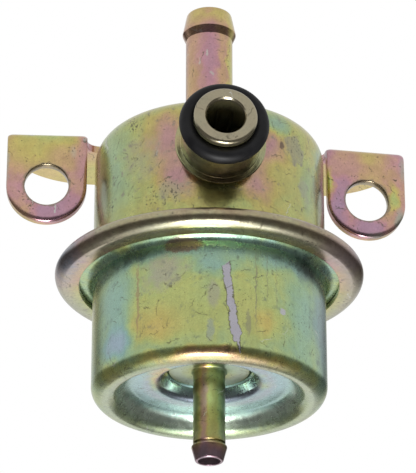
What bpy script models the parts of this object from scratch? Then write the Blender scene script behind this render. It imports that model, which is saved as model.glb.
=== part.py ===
"""Fuel pressure regulator: two drawn steel cups crimped round a diaphragm, with a side inlet, a return
pipe, a vacuum nipple and a folded bracket. Metres, +Z towards the return pipe, -Y towards the inlet.
The origin lies midway between the bracket's two bolt holes, on the front plane of its ears."""

import math

import bmesh
import bpy
from mathutils import Matrix, Vector

# Clearances between pieces
FIT = 0.0003
CLAMP_GAP = 0.0001
RUNNING_GAP = 0.0001

# Folded bracket
SHEET = 0.0016
HOLE_RADIUS = 0.0037
EAR_RADIUS = 0.00675
EAR_GAP = 0.00125
EAR_RISE = 0.0100
EAR_SWEEP = math.radians(3.5)
BEND_RADIUS = 0.0020
PLATE_DEPTH = 0.0165
REAR_FILLET = 0.0140
NECK_SETBACK = 0.0045
NECK_FILLET = 0.0024
TAB_RADIUS = 0.0090
ROLL_WIDTH = 0.0010
ROLL_DEPTH = 0.00045
ROLL_STEPS = 3
BEND_STEPS = 4

# Main axis of the body, in front of the ears
AXIS_Y = -0.0020

# Drawn cups and the crimp that joins them
CUP_WALL = 0.00085
CUP_RADIUS = 0.01925
UPPER_HEIGHT = 0.0235
UPPER_CORNER = 0.0046
UPPER_FLANGE_FILLET = 0.0012
CRIMP_WIDTH = 0.0063
CRIMP_ROLL = 0.00193
LIP_GAP = 0.00225
LOWER_HEIGHT = 0.0202
LOWER_CORNER = 0.0024
LOWER_FLANGE_FILLET = 0.0014

# Dished end of the spring chamber
RIM_WIDTH = 0.00095
RIM_FILLET = 0.0016
DISH_SLOPE = 0.0017
LAND_HEIGHT = 0.0032
LAND_FILLET = 0.0028
RECESS_SLOPE = 0.0009
RECESS_HEIGHT = 0.0022
RECESS_FILLET = 0.0008

# Diaphragm
DIAPHRAGM = 0.00035
FOLD_WALL_GAP = 0.0005
FOLD_WIDTH = 0.0034
FOLD_DEPTH = 0.0017
FOLD_LEAN = 0.0003
FOLD_FILLET = 0.0008

# Return pipe
PIPE_RADIUS = 0.0040
PIPE_WALL = 0.0010
PIPE_LENGTH = 0.0228
PIPE_BEAD_RISE = 0.0006
PIPE_BEAD_DROP = 0.0038
PIPE_BEAD_HEIGHT = 0.0014
PIPE_END_TAPER = 0.00017
PIPE_EDGE = 0.0004
PIPE_SHOULDER_WIDTH = 0.0012
PIPE_SHOULDER_HEIGHT = 0.0012

# Inlet port, measured outwards from the upper cup's wall
PORT_RISE = 0.01235
PORT_TURN = math.radians(1.5)
PORT_TILT = math.radians(3.3)
PORT_BORE_RADIUS = 0.0031
PORT_TUBE_WALL = 0.0013
PORT_TUBE_INSET = 0.0012
PORT_LENGTH = 0.01005
PORT_NECK_STEP = 0.0012
PORT_COLLAR_STEP = 0.00085
PORT_FLANGE_STEP = 0.00095
PORT_FLANGE_THICKNESS = 0.0005
PORT_FLANGE_STANDOFF = 0.0006
PORT_GROOVE_WALL = 0.00122
PORT_SPIGOT_STEP = 0.0008
PORT_SPIGOT_LENGTH = 0.0014
PORT_EDGE = 0.0006
PORT_MOUTH_CHAMFER = 0.0004

# Seal on the inlet port
O_RING_SECTION = 0.0013

# Vacuum nipple
NIPPLE_RADIUS = 0.00263
NIPPLE_WALL = 0.00083
NIPPLE_LENGTH = 0.0155
NIPPLE_BARB_RISE = 0.00032
NIPPLE_BARB_LENGTH = 0.0025
NIPPLE_END_TAPER = 0.00036
NIPPLE_NECK_GROOVE = 0.0003
NIPPLE_BASE_FILLET = 0.0006
DISC_LEDGE = 0.0010
DISC_STEP = 0.0001
DISC_SHOULDER_WIDTH = 0.0013
DISC_SHOULDER_HEIGHT = 0.0010

# Valve, its holder and the plates that clamp the diaphragm
PLATE_SHEET = 0.0008
FUEL_PLATE_GAP = 0.0015
FUEL_PLATE_LIP = 0.0017
HOLDER_HEAD_RADIUS = 0.0052
HOLDER_HEAD_HEIGHT = 0.0032
HOLDER_SHANK_RADIUS = 0.0030
HOLDER_RIVET_RADIUS = 0.0044
HOLDER_RIVET_HEIGHT = 0.0010
BALL_RADIUS = 0.0020
BALL_FLAT_HEIGHT = 0.0013
RETAINER_RADIUS = 0.0038
RETAINER_HEIGHT = 0.0007
RETAINER_TOP = 0.0010
VALVE_DISC_COVER = 0.0007
VALVE_DISC_HEIGHT = 0.0009
BALL_SPRING_BORE = 0.0014
BALL_SPRING_WIRE = 0.0002
BALL_SPRING_PITCH = 0.0009
HOLDER_FLOOR = 0.00055

# Valve seat in the inner end of the return pipe
SEAT_LIFT_GAP = 0.0003
SEAT_WALL = 0.0007
SEAT_LAND_INSET = 0.0009
SEAT_LAND_HEIGHT = 0.0003
SEAT_FLANGE_HEIGHT = 0.0009
SEAT_STEM_LENGTH = 0.0035

# Main spring and its two cupped seats
SPRING_WIRE = 0.0012
SPRING_PITCH = 0.0030
SPRING_PLATE_GAP = 0.0006
SPRING_SEAT_LIP = 0.0020
SPRING_SEAT_LEDGE = 0.0006
SPRING_SEAT_GAP = 0.0013
GROUND_SHARE = 0.35

# Facets
CUP_SEGMENTS = 40
PIECE_SEGMENTS = 24
SMALL_SEGMENTS = 18
CORNER_STEP = math.radians(36)
OUTLINE_STEP = math.radians(14)
SHARP_ANGLE = math.radians(32)

# Radii worked out from the sizes above
HOLE_X = CUP_RADIUS + EAR_GAP + EAR_RADIUS
CRIMP_RADIUS = CUP_RADIUS + CRIMP_WIDTH
LIP_RADIUS = CUP_RADIUS + LIP_GAP
FOLD_OUTER_RADIUS = CUP_RADIUS - CUP_WALL - FOLD_WALL_GAP
FOLD_INNER_RADIUS = FOLD_OUTER_RADIUS - FOLD_WIDTH
FUEL_PLATE_RADIUS = FOLD_INNER_RADIUS - FUEL_PLATE_GAP - PLATE_SHEET / 2
SPRING_CUP_RADIUS = FOLD_INNER_RADIUS - SPRING_PLATE_GAP - PLATE_SHEET / 2
SPRING_RADIUS = SPRING_CUP_RADIUS - PLATE_SHEET / 2 - FIT - SPRING_WIRE
SPRING_SEAT_INNER = SPRING_RADIUS - SPRING_WIRE - SPRING_SEAT_LEDGE
RIM_RADIUS = CUP_RADIUS - LOWER_CORNER - RIM_WIDTH
LAND_RADIUS = RIM_RADIUS - DISH_SLOPE
RECESS_RADIUS = SPRING_SEAT_INNER - SPRING_SEAT_GAP
RECESS_TOP_RADIUS = RECESS_RADIUS - RECESS_SLOPE
DISC_RADIUS = RECESS_TOP_RADIUS - DISC_LEDGE
PIPE_BORE_RADIUS = PIPE_RADIUS - PIPE_WALL
SEAT_STEM_RADIUS = PIPE_BORE_RADIUS - RUNNING_GAP
SEAT_LAND_RADIUS = PIPE_RADIUS - SEAT_LAND_INSET
VALVE_DISC_RADIUS = SEAT_LAND_RADIUS + VALVE_DISC_COVER
PORT_TUBE_RADIUS = PORT_BORE_RADIUS + PORT_TUBE_WALL
PORT_NECK_RADIUS = PORT_TUBE_RADIUS + PORT_NECK_STEP
PORT_COLLAR_RADIUS = PORT_NECK_RADIUS + PORT_COLLAR_STEP
PORT_FLANGE_RADIUS = PORT_COLLAR_RADIUS + PORT_FLANGE_STEP
PORT_GROOVE_RADIUS = PORT_BORE_RADIUS + PORT_GROOVE_WALL
PORT_SPIGOT_RADIUS = PORT_GROOVE_RADIUS + PORT_SPIGOT_STEP
O_RING_CENTRE = PORT_GROOVE_RADIUS + FIT + O_RING_SECTION

# Heights and reaches worked out from the sizes above
FOLD_MID_RADIUS = BEND_RADIUS - SHEET / 2
FOLD_LENGTH = FOLD_MID_RADIUS * math.pi / 2
CUP_TOP_Z = EAR_RISE - SHEET - FIT
CRIMP_HEIGHT = 3 * CUP_WALL + DIAPHRAGM + 3 * CLAMP_GAP
CRIMP_TOP_Z = CUP_TOP_Z - UPPER_HEIGHT
CRIMP_BOTTOM_Z = CRIMP_TOP_Z - CRIMP_HEIGHT
STACK_RADIUS = CRIMP_RADIUS - CRIMP_ROLL
DIAPHRAGM_TOP_Z = CRIMP_TOP_Z - CUP_WALL - CLAMP_GAP
DIAPHRAGM_BOTTOM_Z = DIAPHRAGM_TOP_Z - DIAPHRAGM
RIM_Z = CRIMP_BOTTOM_Z - LOWER_HEIGHT
LAND_Z = RIM_Z + LAND_HEIGHT
RECESS_Z = LAND_Z + RECESS_HEIGHT
PORT_Z = CRIMP_TOP_Z + PORT_RISE
PORT_REACH = CUP_RADIUS + PORT_LENGTH
PORT_FLANGE_REACH = CUP_RADIUS + PORT_FLANGE_STANDOFF
PIPE_END_Z = EAR_RISE + PIPE_LENGTH
HOLDER_BASE_Z = DIAPHRAGM_TOP_Z + PLATE_SHEET + 2 * CLAMP_GAP
HOLDER_TOP_Z = HOLDER_BASE_Z + HOLDER_HEAD_HEIGHT
BALL_Z = HOLDER_TOP_Z - RETAINER_TOP
SEAT_Z = BALL_Z + BALL_FLAT_HEIGHT + CLAMP_GAP + VALVE_DISC_HEIGHT + SEAT_LIFT_GAP
PIPE_INNER_Z = SEAT_Z + SEAT_LAND_HEIGHT + SEAT_FLANGE_HEIGHT + CLAMP_GAP
SPRING_PLATE_TOP_Z = DIAPHRAGM_BOTTOM_Z - CLAMP_GAP
SPRING_PLATE_Z = SPRING_PLATE_TOP_Z - PLATE_SHEET
RIVET_Z = SPRING_PLATE_Z - CLAMP_GAP - HOLDER_RIVET_HEIGHT
SPRING_SEAT_Z = LAND_Z + CUP_WALL + CLAMP_GAP
SPRING_BOTTOM_Z = SPRING_SEAT_Z + PLATE_SHEET + CLAMP_GAP
SPRING_TOP_Z = SPRING_PLATE_Z - CLAMP_GAP


def clear_scene():
    for obj in list(bpy.data.objects):
        bpy.data.objects.remove(obj)


def finish(name, hex_colour, roughness, metallic):
    """A Principled material from an sRGB hex colour."""
    channels = [int(hex_colour[i : i + 2], 16) / 255 for i in (0, 2, 4)]
    linear = [((c + 0.055) / 1.055) ** 2.4 if c > 0.04045 else c / 12.92 for c in channels]
    made = bpy.data.materials.new(name)
    made.use_nodes = True
    shader = made.node_tree.nodes["Principled BSDF"]
    shader.inputs["Base Color"].default_value = (*linear, 1)
    shader.inputs["Roughness"].default_value = roughness
    shader.inputs["Metallic"].default_value = metallic
    made.diffuse_color = (*linear, 1)
    return made


def place(name, bm, material, parent):
    """Turns a bmesh into a named object under its parent, smooth except at real edges."""
    bmesh.ops.recalc_face_normals(bm, faces=bm.faces)
    mesh = bpy.data.meshes.new(name)
    bm.to_mesh(mesh)
    bm.free()
    mesh.shade_smooth()
    mesh.set_sharp_from_angle(angle=SHARP_ANGLE)
    mesh.materials.append(material)
    obj = bpy.data.objects.new(name, mesh)
    bpy.context.scene.collection.objects.link(obj)
    obj.parent = parent
    return obj


def axis_empty(name, location, rotation=(0, 0, 0), parent=None):
    """An empty that carries the pieces which share one axis."""
    empty = bpy.data.objects.new(name, None)
    empty.location = location
    empty.rotation_euler = rotation
    empty.empty_display_size = CUP_RADIUS
    bpy.context.scene.collection.objects.link(empty)
    empty.parent = parent
    return empty


def corner_arc(before, corner, after, radius, most, step):
    """Points of the fillet at a corner, no longer than the room that its edges leave."""
    into = (corner - before).normalized()
    out = (after - corner).normalized()
    turn = into.angle(out, 0)
    if radius <= 0 or turn < 1e-4:
        return [corner]
    reach = min(radius * math.tan(turn / 2), most)
    radius = reach / math.tan(turn / 2)
    side = 1 if into.x * out.y - into.y * out.x > 0 else -1
    inward = Vector((-into.y, into.x)) * side
    start = corner - into * reach
    centre = start + inward * radius
    steps = max(2, math.ceil(turn / step))
    spoke = start - centre
    return [centre + Matrix.Rotation(side * turn * i / steps, 2) @ spoke for i in range(steps + 1)]


def fillet_reach(before, corner, after, radius):
    """How far a fillet reaches along each edge of its corner."""
    turn = (corner - before).angle(after - corner, 0)
    return radius * math.tan(turn / 2)


def filleted(points, closed=False, step=CORNER_STEP):
    """A path through (x, y) or (x, y, fillet radius) points, with each fillet as an arc. Two fillets that
    need more than the edge between them share it."""
    count = len(points)
    corners = [Vector(point[:2]) for point in points]
    radii = [point[2] if len(point) > 2 else 0 for point in points]
    if not closed:
        radii[0] = radii[-1] = 0
    reaches = [
        fillet_reach(corners[i - 1], corners[i], corners[(i + 1) % count], radii[i]) for i in range(count)
    ]
    path = []
    for i, corner in enumerate(corners):
        if not closed and i in (0, count - 1):
            path.append(corner)
            continue
        before, after = corners[i - 1], corners[(i + 1) % count]
        room = []
        for neighbour, other in ((before, (i - 1) % count), (after, (i + 1) % count)):
            length = (corner - neighbour).length
            needed = reaches[i] + reaches[other]
            room.append(length * reaches[i] / needed if needed > length else length)
        arc = corner_arc(before, corner, after, radii[i], min(room), step)
        if path and (arc[0] - path[-1]).length < 1e-7:
            arc = arc[1:]
        path.extend(arc)
    if closed and (path[0] - path[-1]).length < 1e-7:
        path.pop()
    return path


def sheet_section(points, wall):
    """Closed outline of a sheet whose middle line runs through the points."""
    path = filleted(points)
    left, right = [], []
    for i, point in enumerate(path):
        into = (point - path[i - 1]).normalized() if i else None
        out = (path[i + 1] - point).normalized() if i + 1 < len(path) else None
        into, out = into or out, out or into
        along = (into + out).normalized()
        normal = Vector((-along.y, along.x)) / along.dot(into)
        left.append(point + normal * wall / 2)
        right.append(point - normal * wall / 2)
    return left + right[::-1]


def turned(name, section, material, parent, segments=PIECE_SEGMENTS, on_axis=False):
    """Turns an (r, z) outline about Z. An outline that starts and ends on the axis stays open there."""
    bm = bmesh.new()
    verts = [bm.verts.new((point[0], 0, point[1])) for point in section]
    following = verts[1:] if on_axis else verts[1:] + verts[:1]
    edges = [bm.edges.new(pair) for pair in zip(verts, following)]
    bmesh.ops.spin(
        bm,
        geom=verts + edges,
        cent=(0, 0, 0),
        axis=(0, 0, 1),
        angle=2 * math.pi,
        steps=segments,
        use_merge=True,
    )
    bmesh.ops.remove_doubles(bm, verts=bm.verts, dist=1e-7)
    return place(name, bm, material, parent)


def round_cutter(name, radius, low, high, parent, segments=PIECE_SEGMENTS):
    """A hidden cylinder along its parent's Z, used by a Boolean."""
    outline = [(0, high), (radius, high), (radius, low), (0, low)]
    cutter = turned(name, outline, None, parent, segments, on_axis=True)
    cutter.hide_render = True
    cutter.display_type = "WIRE"
    return cutter


def cut(obj, cutter):
    modifier = obj.modifiers.new("cut_" + cutter.name, "BOOLEAN")
    modifier.operation = "DIFFERENCE"
    modifier.solver = "EXACT"
    modifier.object = cutter


def coil(name, radius, wire, low, high, pitch, material, parent, sides=8, steps=14):
    """A compression spring with closed, ground end turns, from low to high. Its other turns are as many
    as fit at the pitch or a little more."""
    end_pitch = 2 * wire + RUNNING_GAP
    first = low + wire * GROUND_SHARE
    last = high - wire * GROUND_SHARE
    middle_turns = max(1, math.floor((last - first - 2 * end_pitch) / pitch))
    middle_pitch = (last - first - 2 * end_pitch) / middle_turns
    bm = bmesh.new()
    rings = []
    for step in range((middle_turns + 2) * steps + 1):
        turn = step / steps
        height = first + end_pitch * min(turn, 1)
        height += middle_pitch * min(max(turn - 1, 0), middle_turns)
        height += end_pitch * max(turn - 1 - middle_turns, 0)
        angle = 2 * math.pi * turn
        outward = Vector((math.cos(angle), math.sin(angle), 0))
        ring = []
        for side in range(sides):
            around = 2 * math.pi * side / sides
            point = outward * (radius + wire * math.cos(around))
            point.z = min(max(height + wire * math.sin(around), low), high)
            ring.append(bm.verts.new(point))
        rings.append(ring)
    for ring, following in zip(rings, rings[1:]):
        for side in range(sides):
            other = (side + 1) % sides
            bm.faces.new((ring[side], ring[other], following[other], following[side]))
    bm.faces.new(rings[0])
    bm.faces.new(rings[-1])
    return place(name, bm, material, parent)


def ear_point(across, back):
    """A point of the flat bracket in the right ear's own directions, measured from its hole."""
    along = Vector((math.cos(EAR_SWEEP), math.sin(EAR_SWEEP)))
    behind = Vector((-along.y, along.x))
    return Vector((HOLE_X, 0)) + along * across + behind * back


def bracket_blank():
    """Outline of the bracket before folding: plate, tab round the pipe and two ears."""
    ear_end = BEND_RADIUS - FOLD_LENGTH - (EAR_RISE - BEND_RADIUS) - EAR_RADIUS
    fold_corner = ear_point(EAR_RADIUS, BEND_RADIUS)
    right = [
        (TAB_RADIUS, AXIS_Y - TAB_RADIUS, TAB_RADIUS),
        (TAB_RADIUS, NECK_SETBACK, NECK_FILLET),
        (*ear_point(-EAR_RADIUS, NECK_SETBACK), NECK_FILLET),
        (*ear_point(-EAR_RADIUS, ear_end), EAR_RADIUS),
        (*ear_point(EAR_RADIUS, ear_end), EAR_RADIUS),
        (*fold_corner, 0),
        (fold_corner.x, PLATE_DEPTH, REAR_FILLET),
    ]
    left = [(-x, y, radius) for x, y, radius in reversed(right)]
    return filleted(right + left, closed=True, step=OUTLINE_STEP)


def fold_down(point, side):
    """Moves a point of the flat bracket to its place once the ear on that side is folded."""
    hole = Vector((side * HOLE_X, 0))
    along = Vector((math.cos(EAR_SWEEP), side * math.sin(EAR_SWEEP)))
    behind = Vector((-along.y, along.x))
    flat = Vector(point[:2]) - hole
    across, back = flat.dot(along), flat.dot(behind)
    past = BEND_RADIUS - back
    if past <= 0:
        return point
    angle = min(past / FOLD_MID_RADIUS, math.pi / 2)
    spoke = BEND_RADIUS - (EAR_RISE - point.z)
    back = BEND_RADIUS - spoke * math.sin(angle)
    height = EAR_RISE - BEND_RADIUS + spoke * math.cos(angle) - max(past - FOLD_LENGTH, 0)
    moved = hole + along * across + behind * back
    return Vector((moved.x, moved.y, height))


def mounting_bracket(material, body_axis):
    """One folded sheet: a plate on top of the body, with two round-ended ears bent down in front.
    The outer skin's edges roll over in a shallow curve, as blanking leaves them."""
    bm = bmesh.new()
    outline = [bm.verts.new((*point, EAR_RISE - SHEET)) for point in bracket_blank()]
    base = bm.faces.new(outline)
    lifted = bmesh.ops.extrude_face_region(bm, geom=[base], use_keep_orig=True)
    raised = [v for v in lifted["geom"] if isinstance(v, bmesh.types.BMVert)]
    bmesh.ops.translate(bm, verts=raised, vec=(0, 0, SHEET - ROLL_DEPTH))
    skin = next(f for f in lifted["geom"] if isinstance(f, bmesh.types.BMFace))
    if skin.normal.z < 0:
        skin.normal_flip()
    for step in range(ROLL_STEPS):
        start, end = (math.pi / 2 * count / ROLL_STEPS for count in (step, step + 1))
        inward = ROLL_WIDTH * (math.cos(start) - math.cos(end))
        rise = ROLL_DEPTH * (math.sin(end) - math.sin(start))
        bmesh.ops.inset_region(bm, faces=[skin], thickness=inward, depth=rise, use_even_offset=True)
    between = (TAB_RADIUS + ear_point(-EAR_RADIUS, NECK_SETBACK).x) / 2
    for side in (-1, 1):
        whole = bm.verts[:] + bm.edges[:] + bm.faces[:]
        bmesh.ops.bisect_plane(bm, geom=whole, plane_co=(side * between, 0, 0), plane_no=(1, 0, 0))
    for side in (-1, 1):
        normal = Vector((-side * math.sin(EAR_SWEEP), math.cos(EAR_SWEEP), 0))
        for step in range(BEND_STEPS + 1):
            back = BEND_RADIUS - FOLD_LENGTH * step / BEND_STEPS
            faces = [f for f in bm.faces if side * f.calc_center_median().x > between]
            verts = list({v for f in faces for v in f.verts})
            edges = list({e for f in faces for e in f.edges})
            level = Vector((side * HOLE_X, 0, 0)) + normal * back
            bmesh.ops.bisect_plane(bm, geom=verts + edges + faces, plane_co=level, plane_no=normal)
    for vert in bm.verts:
        if abs(vert.co.x) > between:
            vert.co = fold_down(vert.co, math.copysign(1, vert.co.x))
    bracket = place("mounting_bracket", bm, material, None)
    clearance = round_cutter("pipe_clearance", PIPE_RADIUS + FIT, 0, 2 * EAR_RISE, body_axis)
    cut(bracket, clearance)
    for label, side in (("left", -1), ("right", 1)):
        turn = (math.pi / 2, 0, side * EAR_SWEEP)
        hole_axis = axis_empty(f"{label}_bolt_axis", (side * HOLE_X, 0, 0), turn)
        cut(bracket, round_cutter(f"{label}_bolt_hole", HOLE_RADIUS, -2 * SHEET, 2 * SHEET, hole_axis))
    return bracket


def fuel_chamber_cup(material, body_axis, port_axis):
    """Upper cup, whose flange rolls round the lower cup's flange to form the crimp."""
    lower_fold = CRIMP_ROLL - CUP_WALL / 2
    upper_fold = CRIMP_HEIGHT - CUP_WALL - lower_fold
    wall_line = CUP_RADIUS - CUP_WALL / 2
    crimp_line = CRIMP_RADIUS - CUP_WALL / 2
    path = [
        (PIPE_RADIUS + FIT, CUP_TOP_Z - CUP_WALL / 2),
        (wall_line, CUP_TOP_Z - CUP_WALL / 2, UPPER_CORNER - CUP_WALL / 2),
        (wall_line, CRIMP_TOP_Z - CUP_WALL / 2, UPPER_FLANGE_FILLET + CUP_WALL / 2),
        (crimp_line, CRIMP_TOP_Z - CUP_WALL / 2, upper_fold),
        (crimp_line, CRIMP_BOTTOM_Z + CUP_WALL / 2, lower_fold),
        (LIP_RADIUS, CRIMP_BOTTOM_Z + CUP_WALL / 2),
    ]
    cup = turned("fuel_chamber_cup", sheet_section(path, CUP_WALL), material, body_axis, CUP_SEGMENTS)
    hole = round_cutter("inlet_hole", PORT_TUBE_RADIUS + FIT, PIPE_RADIUS, PORT_REACH, port_axis)
    cut(cup, hole)
    return cup


def spring_chamber_cup(material, body_axis):
    """Lower cup, with a flange clamped in the crimp and a dished end that carries the vacuum nipple."""
    flange_line = DIAPHRAGM_BOTTOM_Z - CLAMP_GAP - CUP_WALL / 2
    wall_line = CUP_RADIUS - CUP_WALL / 2
    half = CUP_WALL / 2
    path = [
        (STACK_RADIUS, flange_line),
        (wall_line, flange_line, LOWER_FLANGE_FILLET + half),
        (wall_line, RIM_Z + half, LOWER_CORNER - half),
        (RIM_RADIUS, RIM_Z + half, RIM_FILLET),
        (LAND_RADIUS, LAND_Z + half, LAND_FILLET),
        (RECESS_RADIUS, LAND_Z + half, RECESS_FILLET),
        (RECESS_TOP_RADIUS, RECESS_Z + half, RECESS_FILLET),
        (DISC_RADIUS + FIT, RECESS_Z + half),
    ]
    return turned("spring_chamber_cup", sheet_section(path, CUP_WALL), material, body_axis, CUP_SEGMENTS)


def diaphragm(material, body_axis):
    """Rubberised fabric, flat in the crimp and between the plates, with one rolling fold."""
    middle = (DIAPHRAGM_TOP_Z + DIAPHRAGM_BOTTOM_Z) / 2
    trough = middle - FOLD_DEPTH
    path = [
        (STACK_RADIUS, middle),
        (FOLD_OUTER_RADIUS, middle, FOLD_FILLET),
        (FOLD_OUTER_RADIUS - FOLD_LEAN, trough, FOLD_FILLET),
        (FOLD_INNER_RADIUS + FOLD_LEAN, trough, FOLD_FILLET),
        (FOLD_INNER_RADIUS, middle, FOLD_FILLET),
        (HOLDER_SHANK_RADIUS + FIT, middle),
    ]
    return turned("diaphragm", sheet_section(path, DIAPHRAGM), material, body_axis, SMALL_SEGMENTS)


def return_pipe(material, body_axis):
    """Tube from the valve seat out through the cup and the bracket, with a hose bead at its end."""
    shoulder_top = CUP_TOP_Z - CUP_WALL - CLAMP_GAP
    bead_z = PIPE_END_Z - PIPE_BEAD_DROP
    outline = [
        (PIPE_BORE_RADIUS, PIPE_END_Z),
        (PIPE_RADIUS - PIPE_END_TAPER, PIPE_END_Z, PIPE_EDGE),
        (PIPE_RADIUS + PIPE_BEAD_RISE, bead_z, PIPE_EDGE),
        (PIPE_RADIUS, bead_z - PIPE_BEAD_HEIGHT),
        (PIPE_RADIUS, shoulder_top),
        (PIPE_RADIUS + PIPE_SHOULDER_WIDTH, shoulder_top),
        (PIPE_RADIUS + PIPE_SHOULDER_WIDTH, shoulder_top - PIPE_SHOULDER_HEIGHT),
        (PIPE_RADIUS, shoulder_top - PIPE_SHOULDER_HEIGHT),
        (PIPE_RADIUS, PIPE_INNER_Z),
        (PIPE_BORE_RADIUS, PIPE_INNER_Z),
    ]
    return turned("return_pipe", filleted(outline, closed=True), material, body_axis)


def valve_seat(material, body_axis):
    """Flanged ring in the pipe's inner end, with a narrow lapped land that the valve closes on."""
    flange_z = SEAT_Z + SEAT_LAND_HEIGHT
    flange_top = flange_z + SEAT_FLANGE_HEIGHT
    bore = SEAT_STEM_RADIUS - SEAT_WALL
    outline = [
        (bore, flange_top + SEAT_STEM_LENGTH),
        (SEAT_STEM_RADIUS, flange_top + SEAT_STEM_LENGTH),
        (SEAT_STEM_RADIUS, flange_top),
        (PIPE_RADIUS, flange_top),
        (PIPE_RADIUS, flange_z),
        (SEAT_LAND_RADIUS, flange_z),
        (SEAT_LAND_RADIUS, SEAT_Z),
        (bore, SEAT_Z),
    ]
    return turned("valve_seat", filleted(outline, closed=True), material, body_axis)


def inlet_port(material, port_axis, body_axis):
    """Turned stub with a foot flange, a collar, a seal groove and a short spigot, saddled to the cup."""
    groove_end = PORT_REACH - PORT_SPIGOT_LENGTH
    groove_start = groove_end - 2 * (O_RING_SECTION + RUNNING_GAP)
    flange_end = PORT_FLANGE_REACH + PORT_FLANGE_THICKNESS
    inner_end = CUP_RADIUS - CUP_WALL - PORT_TUBE_INSET
    outline = [
        (PORT_BORE_RADIUS, inner_end),
        (PORT_NECK_RADIUS, inner_end),
        (PORT_NECK_RADIUS, PORT_FLANGE_REACH),
        (PORT_FLANGE_RADIUS, PORT_FLANGE_REACH),
        (PORT_FLANGE_RADIUS, flange_end),
        (PORT_COLLAR_RADIUS, flange_end),
        (PORT_COLLAR_RADIUS, groove_start),
        (PORT_GROOVE_RADIUS, groove_start),
        (PORT_GROOVE_RADIUS, groove_end),
        (PORT_SPIGOT_RADIUS, groove_end),
        (PORT_SPIGOT_RADIUS, PORT_REACH, PORT_EDGE),
        (PORT_BORE_RADIUS + PORT_MOUTH_CHAMFER, PORT_REACH),
        (PORT_BORE_RADIUS, PORT_REACH - PORT_MOUTH_CHAMFER),
    ]
    port = turned("inlet_port", filleted(outline, closed=True), material, port_axis)
    low = PORT_Z - 2 * PORT_FLANGE_RADIUS
    high = PORT_Z + 2 * PORT_FLANGE_RADIUS
    saddle = round_cutter("cup_saddle", CUP_RADIUS + FIT, low, high, body_axis, CUP_SEGMENTS)
    spared = round_cutter("tube_core", PORT_TUBE_RADIUS, 0, PORT_REACH, port_axis)
    cut(saddle, spared)
    cut(port, saddle)
    return port


def inlet_o_ring(material, port_axis):
    """Round-section ring that seals the port in the fuel rail."""
    centre = PORT_REACH - PORT_SPIGOT_LENGTH - O_RING_SECTION - RUNNING_GAP
    sides = 12
    outline = []
    for side in range(sides):
        angle = 2 * math.pi * side / sides
        radius = O_RING_CENTRE + O_RING_SECTION * math.cos(angle)
        outline.append((radius, centre + O_RING_SECTION * math.sin(angle)))
    return turned("inlet_o_ring", outline, material, port_axis)


def vacuum_nipple(material, body_axis):
    """Barbed hose nipple whose disc sits in the cup's end, held by a shoulder on the inside."""
    disc_z = RECESS_Z - DISC_STEP
    shoulder_z = RECESS_Z + CUP_WALL + CLAMP_GAP
    end_z = disc_z - NIPPLE_LENGTH
    barb_z = end_z + NIPPLE_BARB_LENGTH
    bore = NIPPLE_RADIUS - NIPPLE_WALL
    shoulder = DISC_RADIUS + DISC_SHOULDER_WIDTH
    outline = [
        (bore, shoulder_z + DISC_SHOULDER_HEIGHT),
        (shoulder, shoulder_z + DISC_SHOULDER_HEIGHT),
        (shoulder, shoulder_z),
        (DISC_RADIUS, shoulder_z),
        (DISC_RADIUS, disc_z),
        (NIPPLE_RADIUS, disc_z, NIPPLE_BASE_FILLET),
        (NIPPLE_RADIUS, barb_z + 2 * NIPPLE_NECK_GROOVE),
        (NIPPLE_RADIUS - NIPPLE_NECK_GROOVE, barb_z + NIPPLE_NECK_GROOVE),
        (NIPPLE_RADIUS + NIPPLE_BARB_RISE, barb_z, NIPPLE_NECK_GROOVE),
        (NIPPLE_RADIUS - NIPPLE_END_TAPER, end_z, NIPPLE_NECK_GROOVE),
        (bore, end_z),
    ]
    return turned("vacuum_nipple", filleted(outline, closed=True), material, body_axis, SMALL_SEGMENTS)


def diaphragm_plate(material, lift_axis):
    """Cupped washer on the fuel side of the diaphragm."""
    middle = DIAPHRAGM_TOP_Z + CLAMP_GAP + PLATE_SHEET / 2
    path = [
        (HOLDER_SHANK_RADIUS + FIT, middle),
        (FUEL_PLATE_RADIUS, middle, PLATE_SHEET),
        (FUEL_PLATE_RADIUS, middle + FUEL_PLATE_LIP),
    ]
    return turned("diaphragm_plate", sheet_section(path, PLATE_SHEET), material, lift_axis, SMALL_SEGMENTS)


def spring_plate(material, lift_axis):
    """Cupped washer on the spring side of the diaphragm, which centres the main spring."""
    middle = SPRING_PLATE_Z + PLATE_SHEET / 2
    path = [
        (HOLDER_SHANK_RADIUS + FIT, middle),
        (SPRING_CUP_RADIUS, middle, PLATE_SHEET),
        (SPRING_CUP_RADIUS, middle - SPRING_SEAT_LIP),
    ]
    return turned("spring_plate", sheet_section(path, PLATE_SHEET), material, lift_axis, SMALL_SEGMENTS)


def spring_seat(material, body_axis):
    """Cupped ring on the inside of the lower cup, which centres the main spring."""
    middle = SPRING_SEAT_Z + PLATE_SHEET / 2
    path = [
        (SPRING_SEAT_INNER, middle),
        (SPRING_CUP_RADIUS, middle, PLATE_SHEET),
        (SPRING_CUP_RADIUS, middle + SPRING_SEAT_LIP),
    ]
    return turned("spring_seat", sheet_section(path, PLATE_SHEET), material, body_axis, SMALL_SEGMENTS)


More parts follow.
